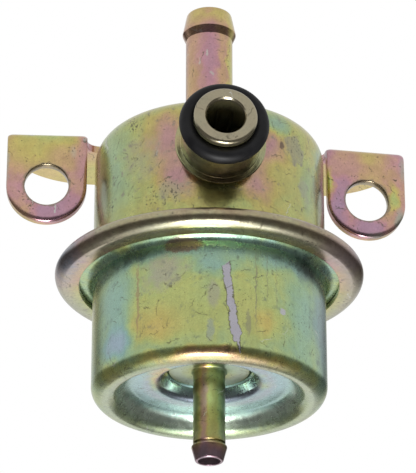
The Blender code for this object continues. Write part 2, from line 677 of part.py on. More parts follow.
def valve_holder(material, lift_axis):
    """Riveted hub through the diaphragm, bored for the ball and its small spring."""
    ball_bore = BALL_RADIUS + RUNNING_GAP
    recess_floor = HOLDER_TOP_Z - RETAINER_HEIGHT - CLAMP_GAP
    rivet_top = SPRING_PLATE_Z - CLAMP_GAP
    outline = [
        (0, RIVET_Z + HOLDER_FLOOR),
        (BALL_SPRING_BORE, RIVET_Z + HOLDER_FLOOR),
        (BALL_SPRING_BORE, BALL_Z - BALL_RADIUS),
        (ball_bore, BALL_Z - BALL_RADIUS / 2),
        (ball_bore, recess_floor),
        (RETAINER_RADIUS + RUNNING_GAP, recess_floor),
        (RETAINER_RADIUS + RUNNING_GAP, HOLDER_TOP_Z),
        (HOLDER_HEAD_RADIUS, HOLDER_TOP_Z),
        (HOLDER_HEAD_RADIUS, HOLDER_BASE_Z),
        (HOLDER_SHANK_RADIUS, HOLDER_BASE_Z),
        (HOLDER_SHANK_RADIUS, rivet_top),
        (HOLDER_RIVET_RADIUS, rivet_top),
        (HOLDER_RIVET_RADIUS, RIVET_Z),
        (0, RIVET_Z),
    ]
    return turned("valve_holder", filleted(outline), material, lift_axis, SMALL_SEGMENTS, on_axis=True)


def ball_retainer(material, lift_axis):
    """Washer with a tapered hole, staked over the ball."""
    bottom = HOLDER_TOP_Z - RETAINER_HEIGHT
    wide = math.sqrt(max(BALL_RADIUS**2 - (bottom - BALL_Z) ** 2, 0)) + RUNNING_GAP
    narrow = math.sqrt(max(BALL_RADIUS**2 - (HOLDER_TOP_Z - BALL_Z) ** 2, 0)) + RUNNING_GAP
    outline = [
        (narrow, HOLDER_TOP_Z),
        (RETAINER_RADIUS, HOLDER_TOP_Z),
        (RETAINER_RADIUS, bottom),
        (wide, bottom),
    ]
    return turned("ball_retainer", outline, material, lift_axis, SMALL_SEGMENTS)


def valve_ball(material, tilt_axis):
    """Ball with one flat, on which the valve disc lies. Heights are from the ball's centre."""
    flat_angle = math.asin(min(BALL_FLAT_HEIGHT / BALL_RADIUS, 1))
    steps = 7
    outline = [(0, BALL_FLAT_HEIGHT)]
    for step in range(steps + 1):
        angle = flat_angle - (flat_angle + math.pi / 2) * step / steps
        outline.append((BALL_RADIUS * math.cos(angle), BALL_RADIUS * math.sin(angle)))
    outline[-1] = (0, -BALL_RADIUS)
    return turned("valve_ball", outline, material, tilt_axis, SMALL_SEGMENTS, on_axis=True)


def valve_disc(material, tilt_axis):
    """Lapped disc that closes the seat. Heights are from the ball's centre."""
    bottom = BALL_FLAT_HEIGHT + CLAMP_GAP
    top = bottom + VALVE_DISC_HEIGHT
    outline = [(0, top), (VALVE_DISC_RADIUS, top), (VALVE_DISC_RADIUS, bottom), (0, bottom)]
    return turned("valve_disc", outline, material, tilt_axis, SMALL_SEGMENTS, on_axis=True)


def ball_spring(material, lift_axis):
    """Small spring under the ball."""
    radius = BALL_SPRING_BORE - RUNNING_GAP - BALL_SPRING_WIRE
    clear = BALL_RADIUS + BALL_SPRING_WIRE + RUNNING_GAP
    top = BALL_Z - math.sqrt(max(clear**2 - radius**2, 0)) + BALL_SPRING_WIRE
    low = RIVET_Z + HOLDER_FLOOR + RUNNING_GAP
    return coil(
        "ball_spring", radius, BALL_SPRING_WIRE, low, top, BALL_SPRING_PITCH, material, lift_axis, 5, 8
    )


def main():
    clear_scene()
    plated = finish("yellow_zinc_plated_steel", "A9A47C", 0.32, 0.85)
    plated_cup = finish("yellow_zinc_plated_cup", "A6AA84", 0.30, 0.85)
    plated_end = finish("yellow_zinc_plated_end_cup", "A2AC8C", 0.28, 0.85)
    plated_pipe = finish("yellow_zinc_plated_pipe", "B59A80", 0.30, 0.85)
    plated_port = finish("yellow_zinc_plated_port", "8E8858", 0.28, 0.9)
    plated_nipple = finish("yellow_zinc_plated_nipple", "9A9B66", 0.28, 0.85)
    seal_rubber = finish("fuel_resistant_rubber", "1B1B1F", 0.45, 0.0)
    fabric_rubber = finish("fabric_reinforced_rubber", "2A2624", 0.7, 0.0)
    bright_plate = finish("bright_steel_plate", "A8AAAD", 0.35, 1.0)
    seat_steel = finish("hardened_seat_steel", "9C9EA3", 0.22, 1.0)
    ball_steel = finish("bearing_steel", "C2C4C8", 0.12, 1.0)
    holder_steel = finish("turned_steel", "8F9196", 0.35, 1.0)
    spring_steel = finish("spring_steel", "6E7075", 0.38, 1.0)

    body_axis = axis_empty("body_axis", (0, AXIS_Y, 0))
    lift_axis = axis_empty("valve_lift_axis", (0, 0, 0), parent=body_axis)
    tilt_axis = axis_empty("valve_tilt_axis", (0, 0, BALL_Z), parent=lift_axis)
    port_axis = axis_empty("inlet_axis", (0, 0, PORT_Z), (math.pi / 2 - PORT_TILT, 0, -PORT_TURN), body_axis)

    mounting_bracket(plated, body_axis)
    fuel_chamber_cup(plated_cup, body_axis, port_axis)
    spring_chamber_cup(plated_end, body_axis)
    return_pipe(plated_pipe, body_axis)
    valve_seat(seat_steel, body_axis)
    inlet_port(plated_port, port_axis, body_axis)
    inlet_o_ring(seal_rubber, port_axis)
    vacuum_nipple(plated_nipple, body_axis)
    diaphragm(fabric_rubber, body_axis)
    diaphragm_plate(bright_plate, lift_axis)
    spring_plate(bright_plate, lift_axis)
    spring_seat(bright_plate, body_axis)
    valve_holder(holder_steel, lift_axis)
    ball_retainer(holder_steel, lift_axis)
    valve_ball(ball_steel, tilt_axis)
    valve_disc(seat_steel, tilt_axis)
    ball_spring(spring_steel, lift_axis)
    coil(
        "main_spring",
        SPRING_RADIUS,
        SPRING_WIRE,
        SPRING_BOTTOM_Z,
        SPRING_TOP_Z,
        SPRING_PITCH,
        spring_steel,
        body_axis,
    )


main()
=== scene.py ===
"""Fuel pressure regulator, dressed for the render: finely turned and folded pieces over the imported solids,
in yellow chromated zinc, rubber and steel."""

import math

import bmesh
import bpy
from mathutils import Matrix, Vector


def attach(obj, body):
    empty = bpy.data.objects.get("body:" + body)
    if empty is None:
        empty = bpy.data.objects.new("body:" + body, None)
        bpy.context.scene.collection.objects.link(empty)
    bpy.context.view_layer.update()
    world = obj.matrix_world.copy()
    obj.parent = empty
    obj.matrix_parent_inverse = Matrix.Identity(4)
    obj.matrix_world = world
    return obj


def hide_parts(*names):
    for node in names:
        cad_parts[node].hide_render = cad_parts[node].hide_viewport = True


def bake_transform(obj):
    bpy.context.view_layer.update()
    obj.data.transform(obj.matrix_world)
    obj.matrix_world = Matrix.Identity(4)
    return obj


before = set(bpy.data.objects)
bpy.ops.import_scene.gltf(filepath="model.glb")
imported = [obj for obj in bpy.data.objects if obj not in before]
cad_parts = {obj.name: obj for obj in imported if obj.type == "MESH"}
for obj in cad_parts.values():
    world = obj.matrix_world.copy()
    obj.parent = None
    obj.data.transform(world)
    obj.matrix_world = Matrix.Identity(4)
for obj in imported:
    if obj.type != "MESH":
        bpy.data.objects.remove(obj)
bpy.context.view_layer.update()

MM = 0.001

# Sizes of the body, in metres, as in the solids
AXIS_Y = -0.0020
FIT = 0.0003
CLAMP_GAP = 0.0001
CUP_WALL = 0.00085
CUP_RADIUS = 0.01925
CUP_TOP_Z = 0.0081
UPPER_CORNER = 0.0046
UPPER_FLANGE_FILLET = 0.0012
CRIMP_RADIUS = 0.02555
CRIMP_ROLL = 0.00193
CRIMP_TOP_Z = -0.0154
CRIMP_BOTTOM_Z = -0.0186
LIP_RADIUS = 0.0215
LOWER_CORNER = 0.0024
LOWER_FLANGE_FILLET = 0.0014
STACK_RADIUS = CRIMP_RADIUS - CRIMP_ROLL
DIAPHRAGM = 0.00035
DIAPHRAGM_TOP_Z = CRIMP_TOP_Z - CUP_WALL - CLAMP_GAP
DIAPHRAGM_BOTTOM_Z = DIAPHRAGM_TOP_Z - DIAPHRAGM
RIM_Z = -0.0388
RIM_RADIUS = 0.0159
RIM_FILLET = 0.0016
LAND_Z = -0.0356
LAND_RADIUS = 0.0142
LAND_FILLET = 0.0028
RECESS_Z = -0.0334
RECESS_RADIUS = 0.0085
RECESS_SLOPE = 0.0009
RECESS_FILLET = 0.0008
DISC_RADIUS = 0.0066
SHEET_EDGE = 0.00018
SHARP_ANGLE = math.radians(34)
MERGE = 1e-7

# Sizes of the bracket
SHEET = 0.0016
EAR_RISE = 0.0100
EAR_RADIUS = 0.00675
EAR_SWEEP = math.radians(3.5)
HOLE_X = 0.02725
HOLE_RADIUS = 0.0037
HOLE_EDGE = 0.00022
BEND_RADIUS = 0.0020
FOLD_MID_RADIUS = BEND_RADIUS - SHEET / 2
FOLD_LENGTH = FOLD_MID_RADIUS * math.pi / 2
NECK_SETBACK = 0.0045
NECK_FILLET = 0.0024
TAB_RADIUS = 0.0090
PLATE_DEPTH = 0.0165
REAR_FILLET = 0.0140
ROLL_WIDTH = 0.0010
ROLL_DEPTH = 0.00045
ROLL_STEPS = 7
BEND_STEPS = 14

# Sizes of the pipe, the inlet port and the nipple
PIPE_RADIUS = 0.0040
PIPE_BORE_RADIUS = 0.0030
PIPE_END_Z = 0.0328
PIPE_INNER_Z = -0.00925
PIPE_BEAD_RISE = 0.0006
PIPE_BEAD_DROP = 0.0038
PIPE_BEAD_HEIGHT = 0.0014
PIPE_END_TAPER = 0.00017
PIPE_EDGE = 0.0004
PIPE_SHOULDER = 0.0012
PORT_Z = -0.00305
PORT_TURN = math.radians(1.5)
PORT_TILT = math.radians(3.3)
PORT_REACH = 0.0293
PORT_BORE_RADIUS = 0.0031
PORT_MOUTH_CHAMFER = 0.00025
PORT_TUBE_RADIUS = 0.0044
PORT_TUBE_START = 0.0172
PORT_NECK_RADIUS = 0.0056
PORT_FLANGE_RADIUS = 0.0074
PORT_FLANGE_START = 0.01985
PORT_FLANGE_END = 0.02035
PORT_COLLAR_RADIUS = 0.00645
PORT_GROOVE_RADIUS = 0.00432
PORT_GROOVE_END = 0.0279
PORT_SPIGOT_RADIUS = 0.00512
PORT_EDGE = 0.0006
O_RING_SECTION = 0.0013
O_RING_CENTRE = 0.00592
NIPPLE_RADIUS = 0.00263
NIPPLE_BORE_RADIUS = 0.0018
NIPPLE_END_Z = -0.0490
NIPPLE_BARB_RISE = 0.00032
NIPPLE_BARB_LENGTH = 0.0025
NIPPLE_END_TAPER = 0.00036
NIPPLE_NECK_GROOVE = 0.0003
NIPPLE_BASE_FILLET = 0.0005
DISC_STEP = 0.0001
DISC_SHOULDER_WIDTH = 0.0013
DISC_SHOULDER_HEIGHT = 0.0010

# Sizes of the valve, its holder, the plates and the springs
PLATE_SHEET = 0.0008
FOLD_OUTER_RADIUS = 0.0179
FOLD_INNER_RADIUS = 0.0145
FOLD_DEPTH = 0.0017
FOLD_LEAN = 0.0003
FOLD_FILLET = 0.0008
FUEL_PLATE_RADIUS = 0.0126
FUEL_PLATE_LIP = 0.0017
SPRING_CUP_RADIUS = 0.0135
SPRING_PLATE_Z = -0.0176
SPRING_SEAT_Z = -0.03465
SPRING_SEAT_INNER = 0.0098
SPRING_SEAT_LIP = 0.0020
SPRING_RADIUS = 0.0116
SPRING_WIRE = 0.0012
GROUND_SHARE = 0.35
BALL_SPRING_BORE = 0.0014
BALL_SPRING_WIRE = 0.0002
HOLDER_TOP_Z = -0.01215
HOLDER_BASE_Z = -0.01535
HOLDER_SHANK_RADIUS = 0.0030
HOLDER_HEAD_RADIUS = 0.0052
HOLDER_RECESS_RADIUS = 0.0039
HOLDER_RECESS_DEPTH = 0.0008
HOLDER_RIVET_RADIUS = 0.0044
HOLDER_FLOOR = 0.00055
RETAINER_RADIUS = 0.0038
RETAINER_HEIGHT = 0.0007
RIVET_Z = -0.0187
BALL_Z = -0.01315
BALL_RADIUS = 0.0020
BALL_FLAT_HEIGHT = 0.0013
VALVE_DISC_RADIUS = 0.0038
VALVE_DISC_HEIGHT = 0.0009
SEAT_Z = -0.01055
SEAT_WALL = 0.0007
SEAT_LAND_INSET = 0.0009
SEAT_LAND_HEIGHT = 0.0003
SEAT_FLANGE_TOP = 0.0012
SEAT_STEM_TOP = 0.0047

# Steps round the turned pieces
CUP_SEGMENTS = 192
PORT_SEGMENTS = 160
PIECE_SEGMENTS = 96

# Camera and floor
CAMERA_BACK = (-0.1058, -0.9008, -0.4210)
CAMERA_LENS = 213.1
CAMERA_DISTANCE = 0.467
AIM_Z = -0.0091
AIM_SHIFT = 0.0002
FLOOR_Z = -1.2

MAIN_AXIS = Matrix.Translation((0, AXIS_Y, 0))
PORT_AXIS = (
    Matrix.Translation((0, AXIS_Y, PORT_Z))
    @ Matrix.Rotation(-PORT_TURN, 4, "Z")
    @ Matrix.Rotation(math.pi / 2 - PORT_TILT, 4, "X")
)


# Materials

def linear(hex_colour):
    """sRGB hex to linear RGBA."""
    channels = [int(hex_colour[i : i + 2], 16) / 255 for i in (0, 2, 4)]
    return tuple(((c + 0.055) / 1.055) ** 2.4 if c > 0.04045 else c / 12.92 for c in channels) + (1,)


def add(tree, kind, settings=None, **links):
    """Adds a node, sets its properties and fills its inputs with values or other nodes' outputs. An input is
    given as i and its number, or by its name with _ for a space."""
    node = tree.nodes.new(kind)
    for key, value in (settings or {}).items():
        setattr(node, key, value)
    for key, value in links.items():
        socket = node.inputs[int(key[1:]) if key[0] == "i" and key[1:].isdigit() else key.replace("_", " ")]
        if isinstance(value, bpy.types.NodeSocket):
            tree.links.new(value, socket)
        else:
            socket.default_value = value
    return node


def maths(tree, operation, *values):
    """The result of a Math node."""
    inputs = {f"i{i}": value for i, value in enumerate(values)}
    return add(tree, "ShaderNodeMath", {"operation": operation}, **inputs).outputs[0]


def vectors(tree, operation, *values, **scale):
    """The result of a Vector Math node, which is a number for a length or a dot product."""
    inputs = {f"i{i}": value for i, value in enumerate(values)}
    results = add(tree, "ShaderNodeVectorMath", {"operation": operation}, **inputs, **scale).outputs
    return results["Value" if operation in ("LENGTH", "DOT_PRODUCT") else "Vector"]


def remap(tree, value, low, high, to_low, to_high, clamp=True, smooth=False):
    """A value moved from one range to another."""
    settings = {"clamp": clamp, "interpolation_type": "SMOOTHSTEP" if smooth else "LINEAR"}
    ranges = {"i1": low, "i2": high, "i3": to_low, "i4": to_high}
    return add(tree, "ShaderNodeMapRange", settings, i0=value, **ranges).outputs[0]


def noise(tree, place, scale, detail=2.0, roughness=0.5, distortion=0.0):
    """The value of a noise, about 0.3 to 0.7. Its scale is in lobes for each millimetre."""
    look = {"Scale": scale, "Detail": detail, "Roughness": roughness, "Distortion": distortion}
    return add(tree, "ShaderNodeTexNoise", Vector=place, **look).outputs[0]


def mixed(tree, share, one, other):
    """A number between one and the other, by the other's share."""
    return add(tree, "ShaderNodeMix", {"data_type": "FLOAT"}, i0=share, i2=one, i3=other).outputs[0]


def tint(tree, cover, colour, hex_colour):
    """Lays one colour over another by its cover."""
    blend = {"data_type": "RGBA"}
    return add(tree, "ShaderNodeMix", blend, i0=cover, i6=colour, i7=linear(hex_colour)).outputs[2]


def apart(tree, vector):
    """A vector's three numbers."""
    return add(tree, "ShaderNodeSeparateXYZ", Vector=vector).outputs


def blank_material(name):
    """A material with an empty tree, and the tree."""
    made = bpy.data.materials.new(name)
    made.use_nodes = True
    made.node_tree.nodes.clear()
    return made, made.node_tree


def closed(made, shader):
    """Ends a material with its shader."""
    add(made.node_tree, "ShaderNodeOutputMaterial", Surface=shader.outputs[0])
    return made


def surface(made, colour, roughness, heights, strength, depth, **more):
    """Ends a material with a Principled shader and a bump of so many millimetres."""
    tree = made.node_tree
    bump = add(tree, "ShaderNodeBump", Strength=strength, Distance=depth * MM, Height=heights).outputs[0]
    look = {"Base Color": colour, "Roughness": roughness, "Normal": bump}
    return closed(made, add(tree, "ShaderNodeBsdfPrincipled", **look, **more))


def object_place(tree):
    """The point's place on the piece, in millimetres."""
    return vectors(tree, "SCALE", add(tree, "ShaderNodeTexCoord").outputs["Object"], Scale=1 / MM)


def blur_edges(tree, place, reach, size, detail):
    """The same place pushed about by up to half the reach, in lobes of the given size."""
    drift = add(tree, "ShaderNodeTexNoise", Vector=place, Scale=1 / size, Detail=detail, Roughness=0.55)
    pull = vectors(tree, "SUBTRACT", drift.outputs["Color"], (0.5,) * 3)
    return vectors(tree, "ADD", place, vectors(tree, "SCALE", pull, Scale=reach))


def spot(tree, place, centre, radii, strength, edge):
    """Cover of an oval spot, from 0 outside to its strength. The edge is the share of its radius that fades."""
    scale = tuple(1 / r for r in radii)
    shift = tuple(-c / r for c, r in zip(centre, radii))
    local = add(tree, "ShaderNodeMapping", Vector=place, Location=shift, Scale=scale)
    fall = add(tree, "ShaderNodeTexGradient", {"gradient_type": "SPHERICAL"}, Vector=local.outputs[0])
    return remap(tree, fall.outputs[1], 0.0, edge, 0.0, strength, smooth=True)


def some_cells(tree, cell, share):
    """1 in the given share of the cells, here and there, and 0 in the others."""
    pick = add(tree, "ShaderNodeTexWhiteNoise", Vector=cell)
    return maths(tree, "LESS_THAN", pick.outputs["Value"], share)


def scratches(tree, place, spacing, length, width, share):
    """Cover of short straight scratches, one in some of the cells that fill the space."""
    cells = add(tree, "ShaderNodeTexVoronoi", Vector=place, Scale=1 / spacing).outputs
    local = vectors(tree, "SUBTRACT", place, cells["Position"])
    lean = vectors(tree, "NORMALIZE", vectors(tree, "SUBTRACT", cells["Color"], (0.5,) * 3))
    off = maths(tree, "ABSOLUTE", vectors(tree, "DOT_PRODUCT", local, lean))
    thin = remap(tree, off, width, width / 2, 0.0, 1.0)
    near = remap(tree, vectors(tree, "LENGTH", local), length, length * 0.7, 0.0, 1.0)
    kept = some_cells(tree, cells["Position"], share)
    return maths(tree, "MULTIPLY", maths(tree, "MULTIPLY", thin, near), kept)


# Colours that the chromate film takes as it grows thicker
FILM = [
    (0.00, "A0B2C2"),
    (0.14, "92B6AE"),
    (0.28, "A0BC92"),
    (0.42, "B9C27A"),
    (0.54, "C8B96E"),
    (0.66, "C8A480"),
    (0.78, "C3929A"),
    (0.89, "AE8EA6"),
    (1.00, "90909E"),
]


def film_colour(tree, depth):
    """The film's colour at a depth from 0 to 1."""
    ramp = add(tree, "ShaderNodeValToRGB", Fac=depth)
    stops = ramp.color_ramp.elements
    stops.remove(stops[0])
    for i, (position, hex_colour) in enumerate(FILM):
        stop = stops.new(position) if i else stops[0]
        stop.position = position
        stop.color = linear(hex_colour)
    return ramp.outputs[0]


def worn_band(tree, place, colour, hex_colour, bands):
    """Rubs the front to bare metal, with a dirty rim, along a slanting band. It goes through places given as
    (z, x, half width) in mm."""
    parts = apart(tree, blur_edges(tree, place, 0.55, 0.35, 3.0))
    front = maths(tree, "LESS_THAN", parts[1], -10.0)
    slant = maths(tree, "MULTIPLY_ADD", parts[0], -0.7, parts[2])
    for (z0, x0, half0), (z1, x1, half1) in zip(bands, bands[1:]):
        middle = remap(tree, slant, z0, z1, x0, x1)
        half = remap(tree, slant, z0, z1, half0, half1)
        off = maths(tree, "ABSOLUTE", maths(tree, "SUBTRACT", parts[0], middle))
        inside = maths(tree, "SUBTRACT", half, off)
        between = maths(tree, "COMPARE", slant, (z0 + z1) / 2, abs(z1 - z0) / 2)
        mask = maths(tree, "MULTIPLY", between, front)
        for low, high, strength, shade in ((-0.17, -0.05, 0.85, "5E5C4A"), (0.0, 0.06, 1.0, hex_colour)):
            cover = maths(tree, "MULTIPLY", remap(tree, inside, low, high, 0.0, strength), mask)
            colour = tint(tree, cover, colour, shade)
    return colour


def chromated_zinc(
    name,
    film,
    drift,
    patches=(),
    tone=None,
    rings=(),
    marks=(),
    sooty=(),
    streaks=0.0,
    specks=0.6,
    worn=None,
    rough=(0.15, 0.23),
    lobes=5.0,
):
    """Yellow chromate over zinc plate on steel, semi-gloss. The film is a few tenths of a micrometre thick,
    and its colour runs from blue through green, gold and rose to slate as it thickens over 5 to 15 mm. The
    film's own clear face gives white highlights. It has dark flecks of 0.2 mm where it is porous, hairline
    scratches 1 to 3 mm long, and an orange peel of 0.5 mm from the steel below.
    film: thickness from 0 to 1. drift: how far it wanders. patches: (thickness, centre in mm, radii in mm,
    strength). tone: (hex, strength) over the whole piece. rings: (hex, centre in mm, directions that count,
    radius in mm, half width in mm, strength), tints that run round an axis, some of them painted light and
    some painted shade. marks: (hex, centre in mm, radii in mm, strength, edge), stains and rubbed places, and
    also painted shadows, painted shade and painted dark reflections. sooty: (centre, radii) where flecks crowd.
    streaks: how strongly the marks of deep drawing show along Z. specks: how dark the flecks are. worn: (hex,
    bands of z, x and half width in mm), rubbed to metal. rough: roughness from its glossy to its dull places.
    lobes: size in mm of the waves in the patches' edges."""
    made, tree = blank_material(name)
    place = object_place(tree)
    lobed = blur_edges(tree, place, lobes, lobes, 6.0)
    ragged = blur_edges(tree, place, 1.1, 0.9, 3.0)

    wander = noise(tree, place, 0.14, 7.0, 0.62, 0.6)
    depth = remap(tree, wander, 0.3, 0.7, film - drift, film + drift, clamp=False)
    for target, centre, radii, strength in patches:
        cover = spot(tree, lobed, centre, [1.25 * r for r in radii], strength, 0.9)
        depth = mixed(tree, cover, depth, target)
    colour = film_colour(tree, depth)
    if tone:
        colour = tint(tree, tone[1], colour, tone[0])
    # Tints round an axis, some of them painted light and some painted shade
    for hex_colour, centre, across, at, half, strength in rings:
        local = vectors(tree, "MULTIPLY", vectors(tree, "SUBTRACT", ragged, centre), across)
        off = maths(tree, "ABSOLUTE", maths(tree, "SUBTRACT", vectors(tree, "LENGTH", local), at))
        colour = tint(tree, remap(tree, off, half, half * 0.2, 0.0, strength), colour, hex_colour)

    # Soft clouds of 2 mm, grain of 0.3 mm, and the marks of deep drawing, 0.5 mm apart round the wall
    cloud = noise(tree, place, 0.5, 3.0, 0.6)
    grain = noise(tree, place, 3.2, 2.0, 0.6)
    drawn = add(tree, "ShaderNodeMapping", Vector=place, Scale=(1.0, 1.0, 0.03)).outputs[0]
    lines = noise(tree, drawn, 1.6, 3.0, 0.6)
    for source, reach in ((cloud, 0.10), (grain, 0.08), (lines, streaks)):
        shade = remap(tree, source, 0.3, 0.7, 1 - reach, 1 + reach)
        colour = vectors(tree, "SCALE", colour, Scale=shade)

    # Stains and rubbed places, and also painted shadows, painted shade and painted dark reflections: large ones
    # with blotched edges, small ones with ragged edges
    blotches = noise(tree, place, 0.7, 5.0, 0.65)
    for hex_colour, centre, radii, strength, edge in marks:
        if min(radii) > 2:
            cover = maths(tree, "MULTIPLY_ADD", blotches, 1.6, spot(tree, lobed, centre, radii, 1.0, 1.0))
            cover = remap(tree, cover, 1.35 - edge / 2, 1.35 + edge / 2, 0.0, strength)
        else:
            cover = spot(tree, ragged, centre, radii, strength, edge)
        colour = tint(tree, cover, colour, hex_colour)
    if worn:
        colour = worn_band(tree, ragged, colour, *worn)

    # Dark flecks, denser in some places
    level = maths(tree, "MULTIPLY_ADD", noise(tree, place, 0.25, 1.0), -0.22, 0.785)
    for centre, radii in sooty:
        level = maths(tree, "ADD", level, spot(tree, lobed, centre, radii, -0.11, 1.0))
    over = maths(tree, "SUBTRACT", noise(tree, place, 2.4), level)
    colour = tint(tree, remap(tree, over, 0.0, 0.04, 0.0, specks), colour, "4F4A3E")

    # Scratches: dark ones that hold dirt, and fewer pale ones that reach the zinc
    for spacing, length, width, share, strength, hex_colour in (
        (2.4, 1.2, 0.07, 0.42, 0.66, "57523E"),
        (4.6, 1.5, 0.08, 0.20, 0.50, "D0D2CC"),
    ):
        cover = maths(tree, "MULTIPLY", scratches(tree, ragged, spacing, length, width, share), strength)
        colour = tint(tree, cover, colour, hex_colour)

    gloss = remap(tree, cloud, 0.3, 0.7, *rough)
    peel = noise(tree, place, 1.5, 3.0, 0.65)
    heights = maths(tree, "MULTIPLY_ADD", lines, streaks * 6, peel)
    heights = maths(tree, "MULTIPLY_ADD", grain, 0.9, heights)
    coat = {"Coat_Weight": 0.35, "Coat_Roughness": 0.12}
    return surface(made, colour, gloss, heights, 0.30, 0.03, Metallic=0.9, **coat)


def moulded_rubber(name, hex_colour, roughness):
    """Moulded nitrile rubber, carbon black, IOR about 1.5: a soft broad sheen, a matt grain of 0.1 mm and
    specks of pale dust 0.15 mm across."""
    made, tree = blank_material(name)
    place = object_place(tree)
    grain = noise(tree, place, 9.0, 3.0)
    bloom = remap(tree, noise(tree, place, 0.4), 0.35, 0.7, 0.0, 0.25)
    colour = tint(tree, bloom, linear(hex_colour), "2A2A2C")
    dust = add(tree, "ShaderNodeTexVoronoi", Vector=place, Scale=0.75).outputs
    near = remap(tree, dust["Distance"], 0.085, 0.05, 0.0, 0.8)
    near = maths(tree, "MULTIPLY", near, some_cells(tree, dust["Position"], 0.16))
    colour = tint(tree, near, colour, "B8B4A4")
    rough = remap(tree, grain, 0.3, 0.7, roughness - 0.06, roughness + 0.06)
    return surface(made, colour, rough, grain, 0.15, 0.02, IOR=1.5, Specular_IOR_Level=0.25)


def proofed_fabric(name, hex_colour):
    """Woven fabric proofed with rubber: matt, with threads 0.4 mm apart just showing through."""
    made, tree = blank_material(name)
    place = object_place(tree)
    colour, heights = linear(hex_colour), None
    for direction in ("X", "Y"):
        settings = {"wave_type": "BANDS", "bands_direction": direction}
        threads = add(tree, "ShaderNodeTexWave", settings, Vector=place, Scale=0.8, Distortion=0.3).outputs[1]
        colour = tint(tree, remap(tree, threads, 0.0, 1.0, 0.0, 0.3), colour, "4A4540")
        heights = threads if heights is None else maths(tree, "MAXIMUM", heights, threads)
    return surface(made, colour, 0.7, heights, 0.3, 0.04, IOR=1.5)


def machined_steel(name, hex_colour, roughness, ring_mm):
    """Turned, pressed or drawn steel: fine circular tool marks and a satin gloss."""
    made, tree = blank_material(name)
    place = object_place(tree)
    centred = add(tree, "ShaderNodeMapping", Vector=place, Location=(0, -AXIS_Y / MM, 0)).outputs[0]
    settings = {"wave_type": "RINGS", "rings_direction": "Z"}
    look = {"Scale": 1 / ring_mm / 3.14, "Distortion": 0.6, "Detail": 2.0}
    marks = add(tree, "ShaderNodeTexWave", settings, Vector=centred, **look).outputs[1]
    dull = remap(tree, noise(tree, place, 0.25, 3.0), 0.3, 0.7, 0.0, 0.5)
    colour = tint(tree, dull, linear(hex_colour), "6E6A62")
    rough = remap(tree, marks, 0.0, 1.0, roughness - 0.05, roughness + 0.07)
    return surface(made, colour, rough, marks, 0.1, 0.01, Metallic=1.0)


# Shapes

def corner_arc(before, corner, after, radius, most, step):
    """Points of the fillet at a corner, no longer than the room that its edges leave."""
    into = (corner - before).normalized()
    out = (after - corner).normalized()
    turn = into.angle(out, 0)
    if radius <= 0 or turn < 1e-4:
        return [corner]
    reach = min(radius * math.tan(turn / 2), most)
    radius = reach / math.tan(turn / 2)
    side = 1 if into.x * out.y - into.y * out.x > 0 else -1
    inward = Vector((-into.y, into.x)) * side
    start = corner - into * reach
    centre = start + inward * radius
    steps = max(2, math.ceil(turn / step))
    spoke = start - centre
    return [centre + Matrix.Rotation(side * turn * i / steps, 2) @ spoke for i in range(steps + 1)]


def fillet_reach(before, corner, after, radius):
    """How far a fillet reaches along each edge of its corner."""
    turn = (corner - before).angle(after - corner, 0)
    return radius * math.tan(turn / 2)


def filleted(points, closed=False, step=math.radians(8)):
    """A path through (x, y) or (x, y, fillet radius) points, with each fillet as an arc. Two fillets that
    need more than the edge between them share it."""
    count = len(points)
    corners = [Vector(point[:2]) for point in points]
    radii = [point[2] if len(point) > 2 else 0 for point in points]
    if not closed:
        radii[0] = radii[-1] = 0
    following = corners[1:] + corners[:1]
    reaches = [fillet_reach(corners[i - 1], corners[i], following[i], radii[i]) for i in range(count)]
    path = []
    for i, corner in enumerate(corners):
        if not closed and i in (0, count - 1):
            path.append(corner)
            continue
        before, after = corners[i - 1], corners[(i + 1) % count]
        room = []
        for neighbour, other in ((before, (i - 1) % count), (after, (i + 1) % count)):
            length = (corner - neighbour).length
            needed = reaches[i] + reaches[other]
            room.append(length * reaches[i] / needed if needed > length else length)
        arc = corner_arc(before, corner, after, radii[i], min(room), step)
        if path and (arc[0] - path[-1]).length < MERGE:
            arc = arc[1:]
        path.extend(arc)
    if closed and (path[0] - path[-1]).length < MERGE:
        path.pop()
    return path


def sheet_section(points, wall, edge=SHEET_EDGE):
    """Closed outline of a sheet whose middle line runs through the points, with its cut edges eased."""
    path = filleted(points)
    left, right = [], []
    for i, point in enumerate(path):
        into = (point - path[i - 1]).normalized() if i else None
        out = (path[i + 1] - point).normalized() if i + 1 < len(path) else None
        into, out = into or out, out or into
        along = (into + out).normalized()
        normal = Vector((-along.y, along.x)) / along.dot(into)
        left.append(point + normal * wall / 2)
        right.append(point - normal * wall / 2)
    ends = {0, len(left) - 1, len(left), 2 * len(left) - 1}
    section = [(*p, edge if i in ends else 0) for i, p in enumerate(left + right[::-1])]
    return filleted(section, closed=True)


def linked(name, data):
    """A new object in the scene."""
    made = bpy.data.objects.new(name, data)
    bpy.context.scene.collection.objects.link(made)
    return made


def shade(mesh):
    """Smooth except at real edges."""
    mesh.shade_smooth()
    mesh.set_sharp_from_angle(angle=SHARP_ANGLE)


def applied(made):
    """Applies a piece's modifiers, so that it is a plain mesh."""
    seen = made.evaluated_get(bpy.context.evaluated_depsgraph_get())
    mesh = bpy.data.meshes.new_from_object(seen)
    mesh.name = made.name
    made.modifiers.clear()
    made.data = mesh
    return made


def piece(name, bm, material=None):
    """Turns a bmesh into an object at the origin."""
    bmesh.ops.recalc_face_normals(bm, faces=bm.faces)
    mesh = bpy.data.meshes.new(name)
    bm.to_mesh(mesh)
    bm.free()
    shade(mesh)
    if material:
        mesh.materials.append(material)
    return linked(name, mesh)


